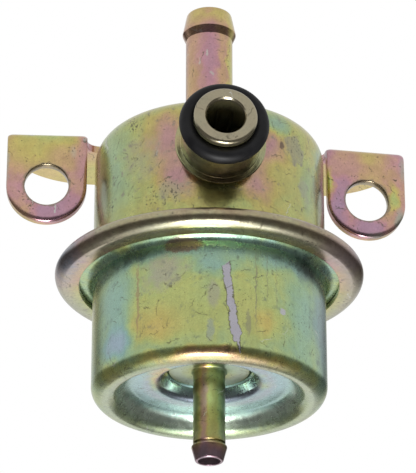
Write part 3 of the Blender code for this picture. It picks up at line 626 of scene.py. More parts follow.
def turned(name, section, material, axis=MAIN_AXIS, segments=CUP_SEGMENTS, on_axis=False):
    """Turns an (r, z) outline about an axis. An outline that starts and ends on the axis stays open there."""
    bm = bmesh.new()
    verts = [bm.verts.new((point[0], 0, point[1])) for point in section]
    following = verts[1:] if on_axis else verts[1:] + verts[:1]
    edges = [bm.edges.new(pair) for pair in zip(verts, following)]
    bmesh.ops.spin(
        bm,
        geom=verts + edges,
        cent=(0, 0, 0),
        axis=(0, 0, 1),
        angle=2 * math.pi,
        steps=segments,
        use_merge=True,
    )
    bmesh.ops.remove_doubles(bm, verts=bm.verts, dist=MERGE)
    bmesh.ops.transform(bm, matrix=axis, verts=bm.verts)
    return piece(name, bm, material)


def plug(name, radius, high, low, axis=MAIN_AXIS, segments=PIECE_SEGMENTS):
    """A solid cylinder to cut with."""
    section = [(0, high), (radius, high), (radius, low), (0, low)]
    return turned(name, section, None, axis, segments, on_axis=True)


def settle(made):
    """Applies a piece's modifiers and shades it by face size, so that flats stay flat beside small rolls."""
    weigh = made.modifiers.new("weigh", "WEIGHTED_NORMAL")
    weigh.mode = "FACE_AREA"
    weigh.weight = 90
    weigh.keep_sharp = True
    return applied(made)


def cut(made, *cutters):
    """Cuts pieces out of another with Booleans and applies them."""
    for cutter in cutters:
        modifier = made.modifiers.new("cut", "BOOLEAN")
        modifier.operation = "DIFFERENCE"
        modifier.solver = "EXACT"
        modifier.object = cutter
    shade(applied(made).data)
    for cutter in cutters:
        bpy.data.objects.remove(cutter)
    return made


def fuel_chamber_cup(material):
    """Upper cup, whose flange rolls round the lower cup's flange to form the crimp."""
    half = CUP_WALL / 2
    lower_fold = CRIMP_ROLL - half
    upper_fold = CRIMP_TOP_Z - CRIMP_BOTTOM_Z - CUP_WALL - lower_fold
    path = [
        (PIPE_RADIUS + FIT, CUP_TOP_Z - half),
        (CUP_RADIUS - half, CUP_TOP_Z - half, UPPER_CORNER - half),
        (CUP_RADIUS - half, CRIMP_TOP_Z - half, UPPER_FLANGE_FILLET + half),
        (CRIMP_RADIUS - half, CRIMP_TOP_Z - half, upper_fold),
        (CRIMP_RADIUS - half, CRIMP_BOTTOM_Z + half, lower_fold),
        (LIP_RADIUS, CRIMP_BOTTOM_Z + half),
    ]
    cup = turned("upper_cup", sheet_section(path, CUP_WALL), material)
    return cut(cup, plug("hole", PORT_TUBE_RADIUS + FIT, PORT_REACH, 0.006, PORT_AXIS))


def spring_chamber_cup(material):
    """Lower cup, with a flange clamped in the crimp and a dished end that carries the vacuum nipple."""
    half = CUP_WALL / 2
    flange_line = DIAPHRAGM_BOTTOM_Z - CLAMP_GAP - half
    path = [
        (STACK_RADIUS, flange_line),
        (CUP_RADIUS - half, flange_line, LOWER_FLANGE_FILLET + half),
        (CUP_RADIUS - half, RIM_Z + half, LOWER_CORNER - half),
        (RIM_RADIUS, RIM_Z + half, RIM_FILLET),
        (LAND_RADIUS, LAND_Z + half, LAND_FILLET),
        (RECESS_RADIUS, LAND_Z + half, RECESS_FILLET),
        (RECESS_RADIUS - RECESS_SLOPE, RECESS_Z + half, RECESS_FILLET),
        (DISC_RADIUS + FIT, RECESS_Z + half),
    ]
    return turned("lower_cup", sheet_section(path, CUP_WALL), material)


def return_pipe(material):
    """Tube with a hose bead at its end."""
    shoulder_top = CUP_TOP_Z - CUP_WALL - CLAMP_GAP
    shoulder_radius, shoulder_base = PIPE_RADIUS + PIPE_SHOULDER, shoulder_top - PIPE_SHOULDER
    bead_z = PIPE_END_Z - PIPE_BEAD_DROP
    outline = [
        (PIPE_BORE_RADIUS, PIPE_END_Z, 0.0002),
        (PIPE_RADIUS - PIPE_END_TAPER, PIPE_END_Z, 0.0005),
        (PIPE_RADIUS + PIPE_BEAD_RISE, bead_z, 0.0005),
        (PIPE_RADIUS, bead_z - PIPE_BEAD_HEIGHT, PIPE_EDGE),
        (PIPE_RADIUS, shoulder_top),
        (shoulder_radius, shoulder_top),
        (shoulder_radius, shoulder_base),
        (PIPE_RADIUS, shoulder_base),
        (PIPE_RADIUS, PIPE_INNER_Z),
        (PIPE_BORE_RADIUS, PIPE_INNER_Z),
    ]
    return turned("return_pipe_dressed", filleted(outline, closed=True), material, segments=PIECE_SEGMENTS)


def inlet_port(material):
    """Turned stub with a foot flange, a collar, a seal groove and a short spigot, saddled to the cup."""
    groove_start = PORT_GROOVE_END - 2 * (O_RING_SECTION + CLAMP_GAP)
    mouth = PORT_BORE_RADIUS + PORT_MOUTH_CHAMFER
    outline = [
        (PORT_BORE_RADIUS, PORT_TUBE_START),
        (PORT_NECK_RADIUS, PORT_TUBE_START),
        (PORT_NECK_RADIUS, PORT_FLANGE_START),
        (PORT_FLANGE_RADIUS, PORT_FLANGE_START, 0.0001),
        (PORT_FLANGE_RADIUS, PORT_FLANGE_END, 0.0002),
        (PORT_COLLAR_RADIUS, PORT_FLANGE_END, 0.00015),
        (PORT_COLLAR_RADIUS, groove_start, 0.0002),
        (PORT_GROOVE_RADIUS, groove_start, 0.0002),
        (PORT_GROOVE_RADIUS, PORT_GROOVE_END, 0.0002),
        (PORT_SPIGOT_RADIUS, PORT_GROOVE_END, 0.00015),
        (PORT_SPIGOT_RADIUS, PORT_REACH, PORT_EDGE),
        (mouth, PORT_REACH, 0.0001),
        (PORT_BORE_RADIUS, PORT_REACH - 0.0003, 0.0001),
    ]
    port = turned("inlet_port_dressed", filleted(outline, closed=True), material, PORT_AXIS, PORT_SEGMENTS)

    # The cup's own cylinder, less the tube that passes its wall
    saddle = plug("saddle", CUP_RADIUS + FIT, PORT_Z + 0.0148, PORT_Z - 0.0148, segments=256)
    return cut(port, cut(saddle, plug("core", PORT_TUBE_RADIUS, PORT_REACH, 0, PORT_AXIS, PORT_SEGMENTS)))


def inlet_o_ring(material):
    """Round-section ring with the faint ridge that the mould leaves on its outer and inner line."""
    centre = PORT_GROOVE_END - O_RING_SECTION - CLAMP_GAP
    sides = 48
    outline = []
    for side in range(sides):
        angle = 2 * math.pi * side / sides
        ridge = 0.00003 if side % (sides // 2) == 0 else 0
        radius = O_RING_CENTRE + (O_RING_SECTION + ridge) * math.cos(angle)
        outline.append((radius, centre + O_RING_SECTION * math.sin(angle)))
    return turned("seal_ring", outline, material, PORT_AXIS)


def vacuum_nipple(material):
    """Barbed hose nipple whose disc sits in the cup's end, held by a shoulder on the inside."""
    disc_z = RECESS_Z - DISC_STEP
    shoulder_z = RECESS_Z + CUP_WALL + CLAMP_GAP
    shoulder_radius, shoulder_top = DISC_RADIUS + DISC_SHOULDER_WIDTH, shoulder_z + DISC_SHOULDER_HEIGHT
    barb_z = NIPPLE_END_Z + NIPPLE_BARB_LENGTH
    outline = [
        (NIPPLE_BORE_RADIUS, shoulder_top),
        (shoulder_radius, shoulder_top),
        (shoulder_radius, shoulder_z),
        (DISC_RADIUS, shoulder_z),
        (DISC_RADIUS, disc_z, 0.00012),
        (NIPPLE_RADIUS, disc_z, NIPPLE_BASE_FILLET),
        (NIPPLE_RADIUS, barb_z + 0.0006, 0.0001),
        (NIPPLE_RADIUS - NIPPLE_NECK_GROOVE, barb_z + 0.0003, 0.00012),
        (NIPPLE_RADIUS + NIPPLE_BARB_RISE, barb_z, 0.0003),
        (NIPPLE_RADIUS - NIPPLE_END_TAPER, NIPPLE_END_Z, 0.0003),
        (NIPPLE_BORE_RADIUS, NIPPLE_END_Z, 0.0001),
    ]
    return turned("nipple", filleted(outline, closed=True), material, segments=PIECE_SEGMENTS)


def ear_point(across, back):
    """A point of the flat bracket in the right ear's own directions, measured from its hole."""
    along = Vector((math.cos(EAR_SWEEP), math.sin(EAR_SWEEP)))
    return Vector((HOLE_X, 0)) + along * across + Vector((-along.y, along.x)) * back


def fold_down(point, side):
    """Moves a point of the flat bracket to its place once the ear on that side is folded."""
    hole = Vector((side * HOLE_X, 0))
    along = Vector((math.cos(EAR_SWEEP), side * math.sin(EAR_SWEEP)))
    behind = Vector((-along.y, along.x))
    flat = Vector(point[:2]) - hole
    across, back = flat.dot(along), flat.dot(behind)
    past = BEND_RADIUS - back
    if past <= 0:
        return point
    angle = min(past / FOLD_MID_RADIUS, math.pi / 2)
    spoke = BEND_RADIUS - (EAR_RISE - point.z)
    back = BEND_RADIUS - spoke * math.sin(angle)
    height = EAR_RISE - BEND_RADIUS + spoke * math.cos(angle) - max(past - FOLD_LENGTH, 0)
    moved = hole + along * across + behind * back
    return Vector((moved.x, moved.y, height))


def mounting_bracket(material):
    """One folded sheet: a plate on top of the body, with two round-ended ears bent down in front. The outer
    skin's edges roll over, as blanking leaves them."""
    ear_end = BEND_RADIUS - FOLD_LENGTH - (EAR_RISE - BEND_RADIUS) - EAR_RADIUS
    fold_corner = ear_point(EAR_RADIUS, BEND_RADIUS)
    right = [
        (TAB_RADIUS, AXIS_Y - TAB_RADIUS, TAB_RADIUS),
        (TAB_RADIUS, NECK_SETBACK, NECK_FILLET),
        (*ear_point(-EAR_RADIUS, NECK_SETBACK), NECK_FILLET),
        (*ear_point(-EAR_RADIUS, ear_end), EAR_RADIUS),
        (*ear_point(EAR_RADIUS, ear_end), EAR_RADIUS),
        (*fold_corner, 0),
        (fold_corner.x, PLATE_DEPTH, REAR_FILLET),
    ]
    left = [(-x, y, radius) for x, y, radius in reversed(right)]
    bm = bmesh.new()
    blank = filleted(right + left, closed=True, step=math.radians(4))
    base = bm.faces.new([bm.verts.new((*point, EAR_RISE - SHEET)) for point in blank])
    lifted = bmesh.ops.extrude_face_region(bm, geom=[base], use_keep_orig=True)
    raised = [v for v in lifted["geom"] if isinstance(v, bmesh.types.BMVert)]
    bmesh.ops.translate(bm, verts=raised, vec=(0, 0, SHEET - ROLL_DEPTH))
    skin = next(f for f in lifted["geom"] if isinstance(f, bmesh.types.BMFace))
    if skin.normal.z < 0:
        skin.normal_flip()
    for step in range(ROLL_STEPS):
        start, end = (math.pi / 2 * count / ROLL_STEPS for count in (step, step + 1))
        inward = ROLL_WIDTH * (math.cos(start) - math.cos(end))
        rise = ROLL_DEPTH * (math.sin(end) - math.sin(start))
        bmesh.ops.inset_region(bm, faces=[skin], thickness=inward, depth=rise, use_even_offset=True)
    between = (TAB_RADIUS + ear_point(-EAR_RADIUS, NECK_SETBACK).x) / 2
    for side in (-1, 1):
        whole = bm.verts[:] + bm.edges[:] + bm.faces[:]
        bmesh.ops.bisect_plane(bm, geom=whole, plane_co=(side * between, 0, 0), plane_no=(1, 0, 0))
    for side in (-1, 1):
        normal = Vector((-side * math.sin(EAR_SWEEP), math.cos(EAR_SWEEP), 0))
        for step in range(BEND_STEPS + 1):
            back = BEND_RADIUS - FOLD_LENGTH * step / BEND_STEPS
            faces = [f for f in bm.faces if side * f.calc_center_median().x > between]
            verts = list({v for f in faces for v in f.verts})
            edges = list({e for f in faces for e in f.edges})
            level = Vector((side * HOLE_X, 0, 0)) + normal * back
            bmesh.ops.bisect_plane(bm, geom=verts + edges + faces, plane_co=level, plane_no=normal)
    for vert in bm.verts:
        if abs(vert.co.x) > between:
            vert.co = fold_down(vert.co, math.copysign(1, vert.co.x))
    bracket = piece("bracket", bm, material)
    cutters = [plug("clearance", PIPE_RADIUS + FIT, 0.02, 0)]
    wide = HOLE_RADIUS + HOLE_EDGE
    for side in (-1, 1):
        turn = Matrix.Rotation(side * EAR_SWEEP, 4, "Z") @ Matrix.Rotation(math.pi / 2, 4, "X")
        axis = Matrix.Translation((side * HOLE_X, 0, 0)) @ turn
        spool = [(0, 0.004), (wide, 0.004)]
        for face_z, inward in ((0, -1), (-SHEET, 1)):
            arc = []
            for step in range(5):
                angle = math.pi / 2 * step / 4
                radius = wide - HOLE_EDGE * math.sin(angle)
                arc.append((radius, face_z + inward * HOLE_EDGE * (1 - math.cos(angle))))
            spool += arc if inward < 0 else arc[::-1]
        spool += [(wide, -0.006), (0, -0.006)]
        cutters.append(turned(f"hole_{side}", spool, None, axis, PIECE_SEGMENTS, on_axis=True))
    return settle(cut(bracket, *cutters))


def diaphragm_sheet(name, path, material):
    """Part of the diaphragm, along its middle line."""
    return turned(name, sheet_section(path, DIAPHRAGM, 0.00008), material)


def cupped_washer(name, inner, outer, middle, lip, material):
    """Pressed washer with its rim turned up or down into a lip."""
    path = [(inner, middle), (outer, middle, PLATE_SHEET), (outer, middle + lip)]
    return turned(name, sheet_section(path, PLATE_SHEET, 0.00012), material, segments=128)


def valve_seat(material):
    """Flanged ring in the pipe's inner end, with a narrow lapped land."""
    stem = PIPE_BORE_RADIUS - CLAMP_GAP
    bore = stem - SEAT_WALL
    land = PIPE_RADIUS - SEAT_LAND_INSET
    outline = [
        (bore, SEAT_Z + SEAT_STEM_TOP),
        (stem, SEAT_Z + SEAT_STEM_TOP, 0.0001),
        (stem, SEAT_Z + SEAT_FLANGE_TOP),
        (PIPE_RADIUS, SEAT_Z + SEAT_FLANGE_TOP, 0.0001),
        (PIPE_RADIUS, SEAT_Z + SEAT_LAND_HEIGHT, 0.0001),
        (land, SEAT_Z + SEAT_LAND_HEIGHT),
        (land, SEAT_Z, 0.00005),
        (bore, SEAT_Z, 0.00005),
    ]
    return turned("seat_ring", filleted(outline, closed=True), material, segments=PIECE_SEGMENTS)


def valve_holder(material):
    """Riveted hub through the diaphragm, bored for the ball and its small spring."""
    ball_bore = BALL_RADIUS + CLAMP_GAP
    recess_floor = HOLDER_TOP_Z - HOLDER_RECESS_DEPTH
    rivet_top = SPRING_PLATE_Z - CLAMP_GAP
    outline = [
        (0, RIVET_Z + HOLDER_FLOOR),
        (BALL_SPRING_BORE, RIVET_Z + HOLDER_FLOOR),
        (BALL_SPRING_BORE, BALL_Z - BALL_RADIUS),
        (ball_bore, BALL_Z - BALL_RADIUS / 2),
        (ball_bore, recess_floor),
        (HOLDER_RECESS_RADIUS, recess_floor),
        (HOLDER_RECESS_RADIUS, HOLDER_TOP_Z),
        (HOLDER_HEAD_RADIUS, HOLDER_TOP_Z, 0.0003),
        (HOLDER_HEAD_RADIUS, HOLDER_BASE_Z, 0.0002),
        (HOLDER_SHANK_RADIUS, HOLDER_BASE_Z),
        (HOLDER_SHANK_RADIUS, rivet_top),
        (HOLDER_RIVET_RADIUS, rivet_top, 0.0002),
        (HOLDER_RIVET_RADIUS, RIVET_Z, 0.0005),
        (0, RIVET_Z),
    ]
    return turned("valve_hub", filleted(outline), material, segments=PIECE_SEGMENTS, on_axis=True)


def ball_retainer(material):
    """Washer with a tapered hole, staked over the ball."""
    bottom = HOLDER_TOP_Z - RETAINER_HEIGHT
    wide, narrow = (math.sqrt(BALL_RADIUS**2 - (z - BALL_Z) ** 2) + CLAMP_GAP for z in (bottom, HOLDER_TOP_Z))
    outline = [
        (narrow, HOLDER_TOP_Z, 0.00006),
        (RETAINER_RADIUS, HOLDER_TOP_Z, 0.0001),
        (RETAINER_RADIUS, bottom, 0.0001),
        (wide, bottom),
    ]
    return turned("retaining_washer", filleted(outline, closed=True), material, segments=PIECE_SEGMENTS)


def valve_ball(material):
    """Ball with one flat, on which the valve disc lies."""
    flat_angle = math.asin(BALL_FLAT_HEIGHT / BALL_RADIUS)
    outline = [(0, BALL_Z + BALL_FLAT_HEIGHT)]
    for step in range(25):
        angle = flat_angle - (flat_angle + math.pi / 2) * step / 24
        outline.append((BALL_RADIUS * math.cos(angle), BALL_Z + BALL_RADIUS * math.sin(angle)))
    outline[-1] = (0, BALL_Z - BALL_RADIUS)
    return turned("flatted_ball", outline, material, segments=64, on_axis=True)


def valve_disc(material):
    """Lapped disc that closes the seat."""
    bottom = BALL_Z + BALL_FLAT_HEIGHT + CLAMP_GAP
    top = bottom + VALVE_DISC_HEIGHT
    outline = [
        (0, top),
        (VALVE_DISC_RADIUS, top, 0.0001),
        (VALVE_DISC_RADIUS, bottom, 0.0001),
        (0, bottom),
    ]
    return turned("lapped_disc", filleted(outline), material, segments=PIECE_SEGMENTS, on_axis=True)


def coil_tree():
    """Geometry nodes for a compression spring with closed, ground end turns, and their inputs."""
    tree = bpy.data.node_groups.new("ground_coil", "GeometryNodeTree")
    inputs = {}
    for label in ("Radius", "Wire", "Low", "High", "End Pitch", "Middle Turns", "Base", "Finish"):
        kind = "NodeSocketMaterial" if label == "Finish" else "NodeSocketFloat"
        inputs[label] = tree.interface.new_socket(label, in_out="INPUT", socket_type=kind)
    tree.interface.new_socket("Geometry", in_out="OUTPUT", socket_type="NodeSocketGeometry")
    given = add(tree, "NodeGroupInput").outputs
    turns = maths(tree, "ADD", given["Middle Turns"], 2.0)
    radii = {"Start_Radius": given["Radius"], "End_Radius": given["Radius"]}
    spiral = add(tree, "GeometryNodeCurveSpiral", Resolution=40, Rotations=turns, Height=0.0, **radii)
    turn = maths(tree, "MULTIPLY", add(tree, "GeometryNodeSplineParameter").outputs["Factor"], turns)

    # Height of the wire's middle: an end pitch for the first and last turn, an even one between
    ground = maths(tree, "MULTIPLY", given["Wire"], GROUND_SHARE)
    first = maths(tree, "ADD", given["Low"], ground)
    last = maths(tree, "SUBTRACT", given["High"], ground)
    lower = maths(tree, "ADD", first, given["End Pitch"])
    upper = maths(tree, "SUBTRACT", last, given["End Pitch"])
    rest = maths(tree, "ADD", given["Middle Turns"], 1.0)
    start = remap(tree, turn, 0.0, 1.0, first, lower)
    middle = remap(tree, turn, 1.0, rest, lower, upper, clamp=False)
    end = remap(tree, turn, rest, turns, upper, last)
    height = mixed(tree, maths(tree, "LESS_THAN", turn, 1.0), middle, start)
    height = mixed(tree, maths(tree, "GREATER_THAN", turn, rest), height, end)
    parts = apart(tree, add(tree, "GeometryNodeInputPosition").outputs[0])
    raised = add(tree, "ShaderNodeCombineXYZ", X=parts[0], Y=parts[1], Z=height).outputs[0]
    wound = add(tree, "GeometryNodeSetPosition", Geometry=spiral.outputs[0], Position=raised).outputs[0]
    wire = add(tree, "GeometryNodeCurvePrimitiveCircle", Resolution=16, Radius=given["Wire"]).outputs[0]
    solid = add(tree, "GeometryNodeCurveToMesh", Curve=wound, Profile_Curve=wire, Fill_Caps=True).outputs[0]

    # Ends ground flat, and the coil moved to the main axis
    parts = apart(tree, add(tree, "GeometryNodeInputPosition").outputs[0])
    flat = maths(tree, "MINIMUM", maths(tree, "MAXIMUM", parts[2], given["Low"]), given["High"])
    deep = maths(tree, "ADD", parts[1], given["Base"])
    moved = add(tree, "ShaderNodeCombineXYZ", X=parts[0], Y=deep, Z=flat).outputs[0]
    seated = add(tree, "GeometryNodeSetPosition", Geometry=solid, Position=moved).outputs[0]
    smooth = add(tree, "GeometryNodeSetShadeSmooth", Geometry=seated).outputs[0]
    real = add(tree, "GeometryNodeRealizeInstances", Geometry=smooth).outputs[0]
    dressed = add(tree, "GeometryNodeSetMaterial", Geometry=real, Material=given["Finish"]).outputs[0]
    add(tree, "NodeGroupOutput", Geometry=dressed)
    return tree, inputs


def coil_spring(name, coil, radius, wire, low, high, middle_turns, material):
    """Runs the coil's nodes with the given sizes and keeps the result as a plain mesh."""
    made = linked(name, bpy.data.meshes.new(name))
    modifier = made.modifiers.new("coil", "NODES")
    modifier.node_group, inputs = coil
    for label, value in {
        "Radius": radius,
        "Wire": wire,
        "Low": low,
        "High": high,
        "End Pitch": 2 * wire + CLAMP_GAP,
        "Middle Turns": middle_turns,
        "Base": AXIS_Y,
        "Finish": material,
    }.items():
        modifier[inputs[label].identifier] = value
    return applied(made)


# Camera, lights and surroundings

def camera():
    """Looks up at the part from 25 degrees below, as the photograph does."""
    back = Vector(CAMERA_BACK).normalized()
    data = bpy.data.cameras.new("camera")
    data.lens = CAMERA_LENS
    data.sensor_width = 36
    made = linked("camera", data)
    turn = back.to_track_quat("Z", "Y")
    right = turn @ Vector((1, 0, 0))
    aim = Vector((0, AXIS_Y, AIM_Z)) - right * AIM_SHIFT
    made.location = aim + back * CAMERA_DISTANCE
    made.rotation_mode = "QUATERNION"
    made.rotation_quaternion = turn
    bpy.context.scene.camera = made


def white_paper(name):
    """Plain white paper, matt: it takes shadows, and looks the same in the picture and in reflections."""
    made, tree = blank_material(name)
    rays = add(tree, "ShaderNodeLightPath").outputs
    looked = maths(tree, "MAXIMUM", rays["Is Camera Ray"], rays["Is Glossy Ray"])
    looked = maths(tree, "MAXIMUM", looked, rays["Is Transmission Ray"])
    grain = noise(tree, add(tree, "ShaderNodeTexCoord").outputs["Object"], 40.0)
    tone = remap(tree, grain, 0.0, 1.0, 0.985, 1.0)
    paper = add(tree, "ShaderNodeBsdfDiffuse", Color=linear("FFFFFF")).outputs[0]
    glow = add(tree, "ShaderNodeEmission", Color=linear("FFFFFF"), Strength=tone).outputs[0]
    return closed(made, add(tree, "ShaderNodeMixShader", i0=looked, i1=paper, i2=glow))


def graded_cloth(name):
    """Dark grey gauze, matt: closed in the middle of the band and thinning out towards its edges and behind,
    so that its reflection ends softly."""
    made, tree = blank_material(name)
    parts = apart(tree, add(tree, "ShaderNodeTexCoord").outputs["Object"])
    below = remap(tree, parts[2], -0.91, -0.70, 0.0, 1.0, smooth=True)
    rise = remap(tree, parts[1], 0.35, 0.85, 0.0, -0.32, smooth=True)
    above = remap(tree, maths(tree, "ADD", parts[2], rise), 0.26, -0.04, 0.0, 1.0, smooth=True)
    behind = remap(tree, parts[1], 0.93, 0.75, 0.0, 1.0, smooth=True)
    cover = maths(tree, "MULTIPLY", maths(tree, "MULTIPLY", below, above), behind)
    cloth = add(tree, "ShaderNodeBsdfDiffuse", Color=linear("3A3733")).outputs[0]
    clear = add(tree, "ShaderNodeBsdfTransparent").outputs[0]
    return closed(made, add(tree, "ShaderNodeMixShader", i0=cover, i1=clear, i2=cloth))


def area_lamp(name, location, size, power, target=(0, 0, -0.01)):
    """A rectangular lamp that shines on the target and stays out of the picture."""
    data = bpy.data.lights.new(name, "AREA")
    data.shape = "RECTANGLE"
    data.size, data.size_y = size
    data.energy = power
    lamp = linked(name, data)
    lamp.location = location
    lamp.rotation_mode = "QUATERNION"
    lamp.rotation_quaternion = (Vector(location) - Vector(target)).to_track_quat("Z", "Y")
    lamp.visible_camera = False


def white_surround():
    """White all round: full white to the camera, and a little darker as light."""
    world = bpy.data.worlds.new("studio")
    bpy.context.scene.world = world
    world.use_nodes = True
    tree = world.node_tree
    tree.nodes.clear()
    rays = add(tree, "ShaderNodeLightPath").outputs
    around = add(tree, "ShaderNodeBackground", Color=linear("FFFFFF"), Strength=0.80).outputs[0]
    seen = add(tree, "ShaderNodeBackground", Color=linear("FFFFFF"), Strength=1.0).outputs[0]
    looked = maths(tree, "MAXIMUM", rays["Is Camera Ray"], rays["Is Transmission Ray"])
    shader = add(tree, "ShaderNodeMixShader", i0=looked, i1=around, i2=seen).outputs[0]
    add(tree, "ShaderNodeOutputWorld", Surface=shader)


def studio():
    """A white surround, a pale floor well below the part, and a band of grey cloth round the front."""
    white_surround()
    bm = bmesh.new()
    bmesh.ops.create_grid(bm, x_segments=8, y_segments=8, size=4)
    bmesh.ops.translate(bm, verts=bm.verts, vec=(0, 0, FLOOR_Z))
    floor = piece("floor", bm, white_paper("white_paper"))

    bm = bmesh.new()
    previous = None
    for step in range(61):
        azimuth = math.radians(-165 + 330 * step / 60)
        row = []
        for elevation in (-66, -45, -25, -5, 15, 45):
            angle = math.radians(elevation)
            outward = Vector((math.sin(azimuth), -math.cos(azimuth), 0)) * math.cos(angle)
            row.append(bm.verts.new(outward + Vector((0, 0, math.sin(angle)))))
        if previous:
            for low, high in zip(range(5), range(1, 6)):
                bm.faces.new((previous[low], row[low], row[high], previous[high]))
        previous = row
    band = piece("grey_band", bm, graded_cloth("grey_cloth"))
    band.visible_camera = False
    band.visible_diffuse = False
    band.visible_shadow = False

    area_lamp("low_front", (-0.05, -0.30, -0.62), (0.30, 0.22), 4.5)
    area_lamp("below", (0.02, -0.02, -0.66), (0.45, 0.40), 1.3)


camera()
studio()

upper_zinc = chromated_zinc(
    "chromated_zinc_upper_cup",
    0.47,
    0.09,
    tone=("8E8A5E", 0.2),
    rings=[("A29E9A", (0, -2, 0), (1, 1, 0), 24.2, 3.2, 0.66)],
    patches=[
        (0.22, (-17, -11, -3), (3.6, 10, 12), 0.85), (0.3, (-15, -13.5, -8), (3, 8, 5), 0.5),
        (0.77, (-9, -19.2, 0), (3.8, 7, 6.8), 1), (0.78, (-7, -20.1, -6.6), (4.4, 6, 5), 1),
        (0.8, (8, -19.6, -2), (3.4, 6, 6), 1), (0.76, (6, -20.4, -7.6), (4.6, 5, 4.2), 1),
        (0.48, (9.6, -18.6, -5.6), (3.6, 5, 5), 0.9), (0.18, (9.4, -18.6, 4.6), (2.8, 5, 2.8), 0.9),
        (0.24, (14.8, -14.3, -6), (2.8, 5, 7), 0.7), (0.1, (17.4, -10.5, -2), (1.6, 5, 9), 0.8),
        (0.98, (-23, -9, -16.4), (12, 14, 4), 1), (0.56, (-20, -14, -18.8), (14, 14, 1.6), 0.8),
        (0.8, (20, -14, -17.6), (12, 14, 3), 0.9), (0.62, (-3, -26, -15.8), (20, 6, 1.6), 0.8),
    ],
    marks=[
        ("A6A28E", (-13, -16.5, -2), (6, 6, 8), 0.5, 0.7), ("A8A48C", (-8, -19.4, -9.6), (6, 5, 4), 0.6, 0.5),
        ("9A9884", (12.5, -17, 0.6), (4.4, 4.4, 5), 0.7, 0.3),
        ("A0A28C", (14, -15.6, -6.4), (3.6, 4, 4.2), 0.65, 0.3),
        # Painted shadow on the cup under the inlet port's foot
        ("4A441E", (0.5, -21, -10.4), (6, 4, 2.6), 0.7, 0.9),
        ("66544A", (10, -18.4, 0.3), (0.6, 1, 0.8), 0.85, 0.5),
        ("8490A0", (-25.4, -7, -16.6), (6, 9, 5), 0.75, 0.8),
        ("A6AC8A", (-19, -18.5, -16.2), (6, 6, 4), 0.6, 0.8),
        ("94785E", (-1, -27.2, -15.4), (12, 5, 2.1), 0.6, 0.8),
        ("8C7478", (14, -22.5, -15.6), (9, 7, 2.6), 0.55, 0.8),
        # The second mark on the next line is a painted band of shade round the lower half of the crimp's roll
        ("8A8088", (23, -13, -16.6), (6, 9, 4), 0.55, 0.8), ("6E5C50", (0, -2, -17.4), (70, 70, 1), 0.6, 0.8),
        # Painted line of shade in the crease where the cup's wall turns into the crimp
        ("6E6258", (0, -2, -14), (70, 70, 0.5), 0.5, 0.8),
        ("80764C", (17.8, -10.2, -6), (3, 6, 11), 0.6, 0.8),
        # These two are painted dark reflections down the cup's left and right edges
        ("6C5648", (-18.2, -8.8, -3), (1.2, 3, 9), 0.5, 0.8),
        ("6C5648", (18.4, -8.2, -3), (1.2, 3, 9), 0.55, 0.8),
    ],
    streaks=0.04,
    rough=(0.2, 0.28),
    specks=0.75,
    sooty=[
        ((-8.5, -19.3, -9.8), (6, 6, 3.6)), ((12.5, -17, 1.5), (5, 5, 5)), ((-14, -15, 5), (4, 5, 4)),
    ],
)
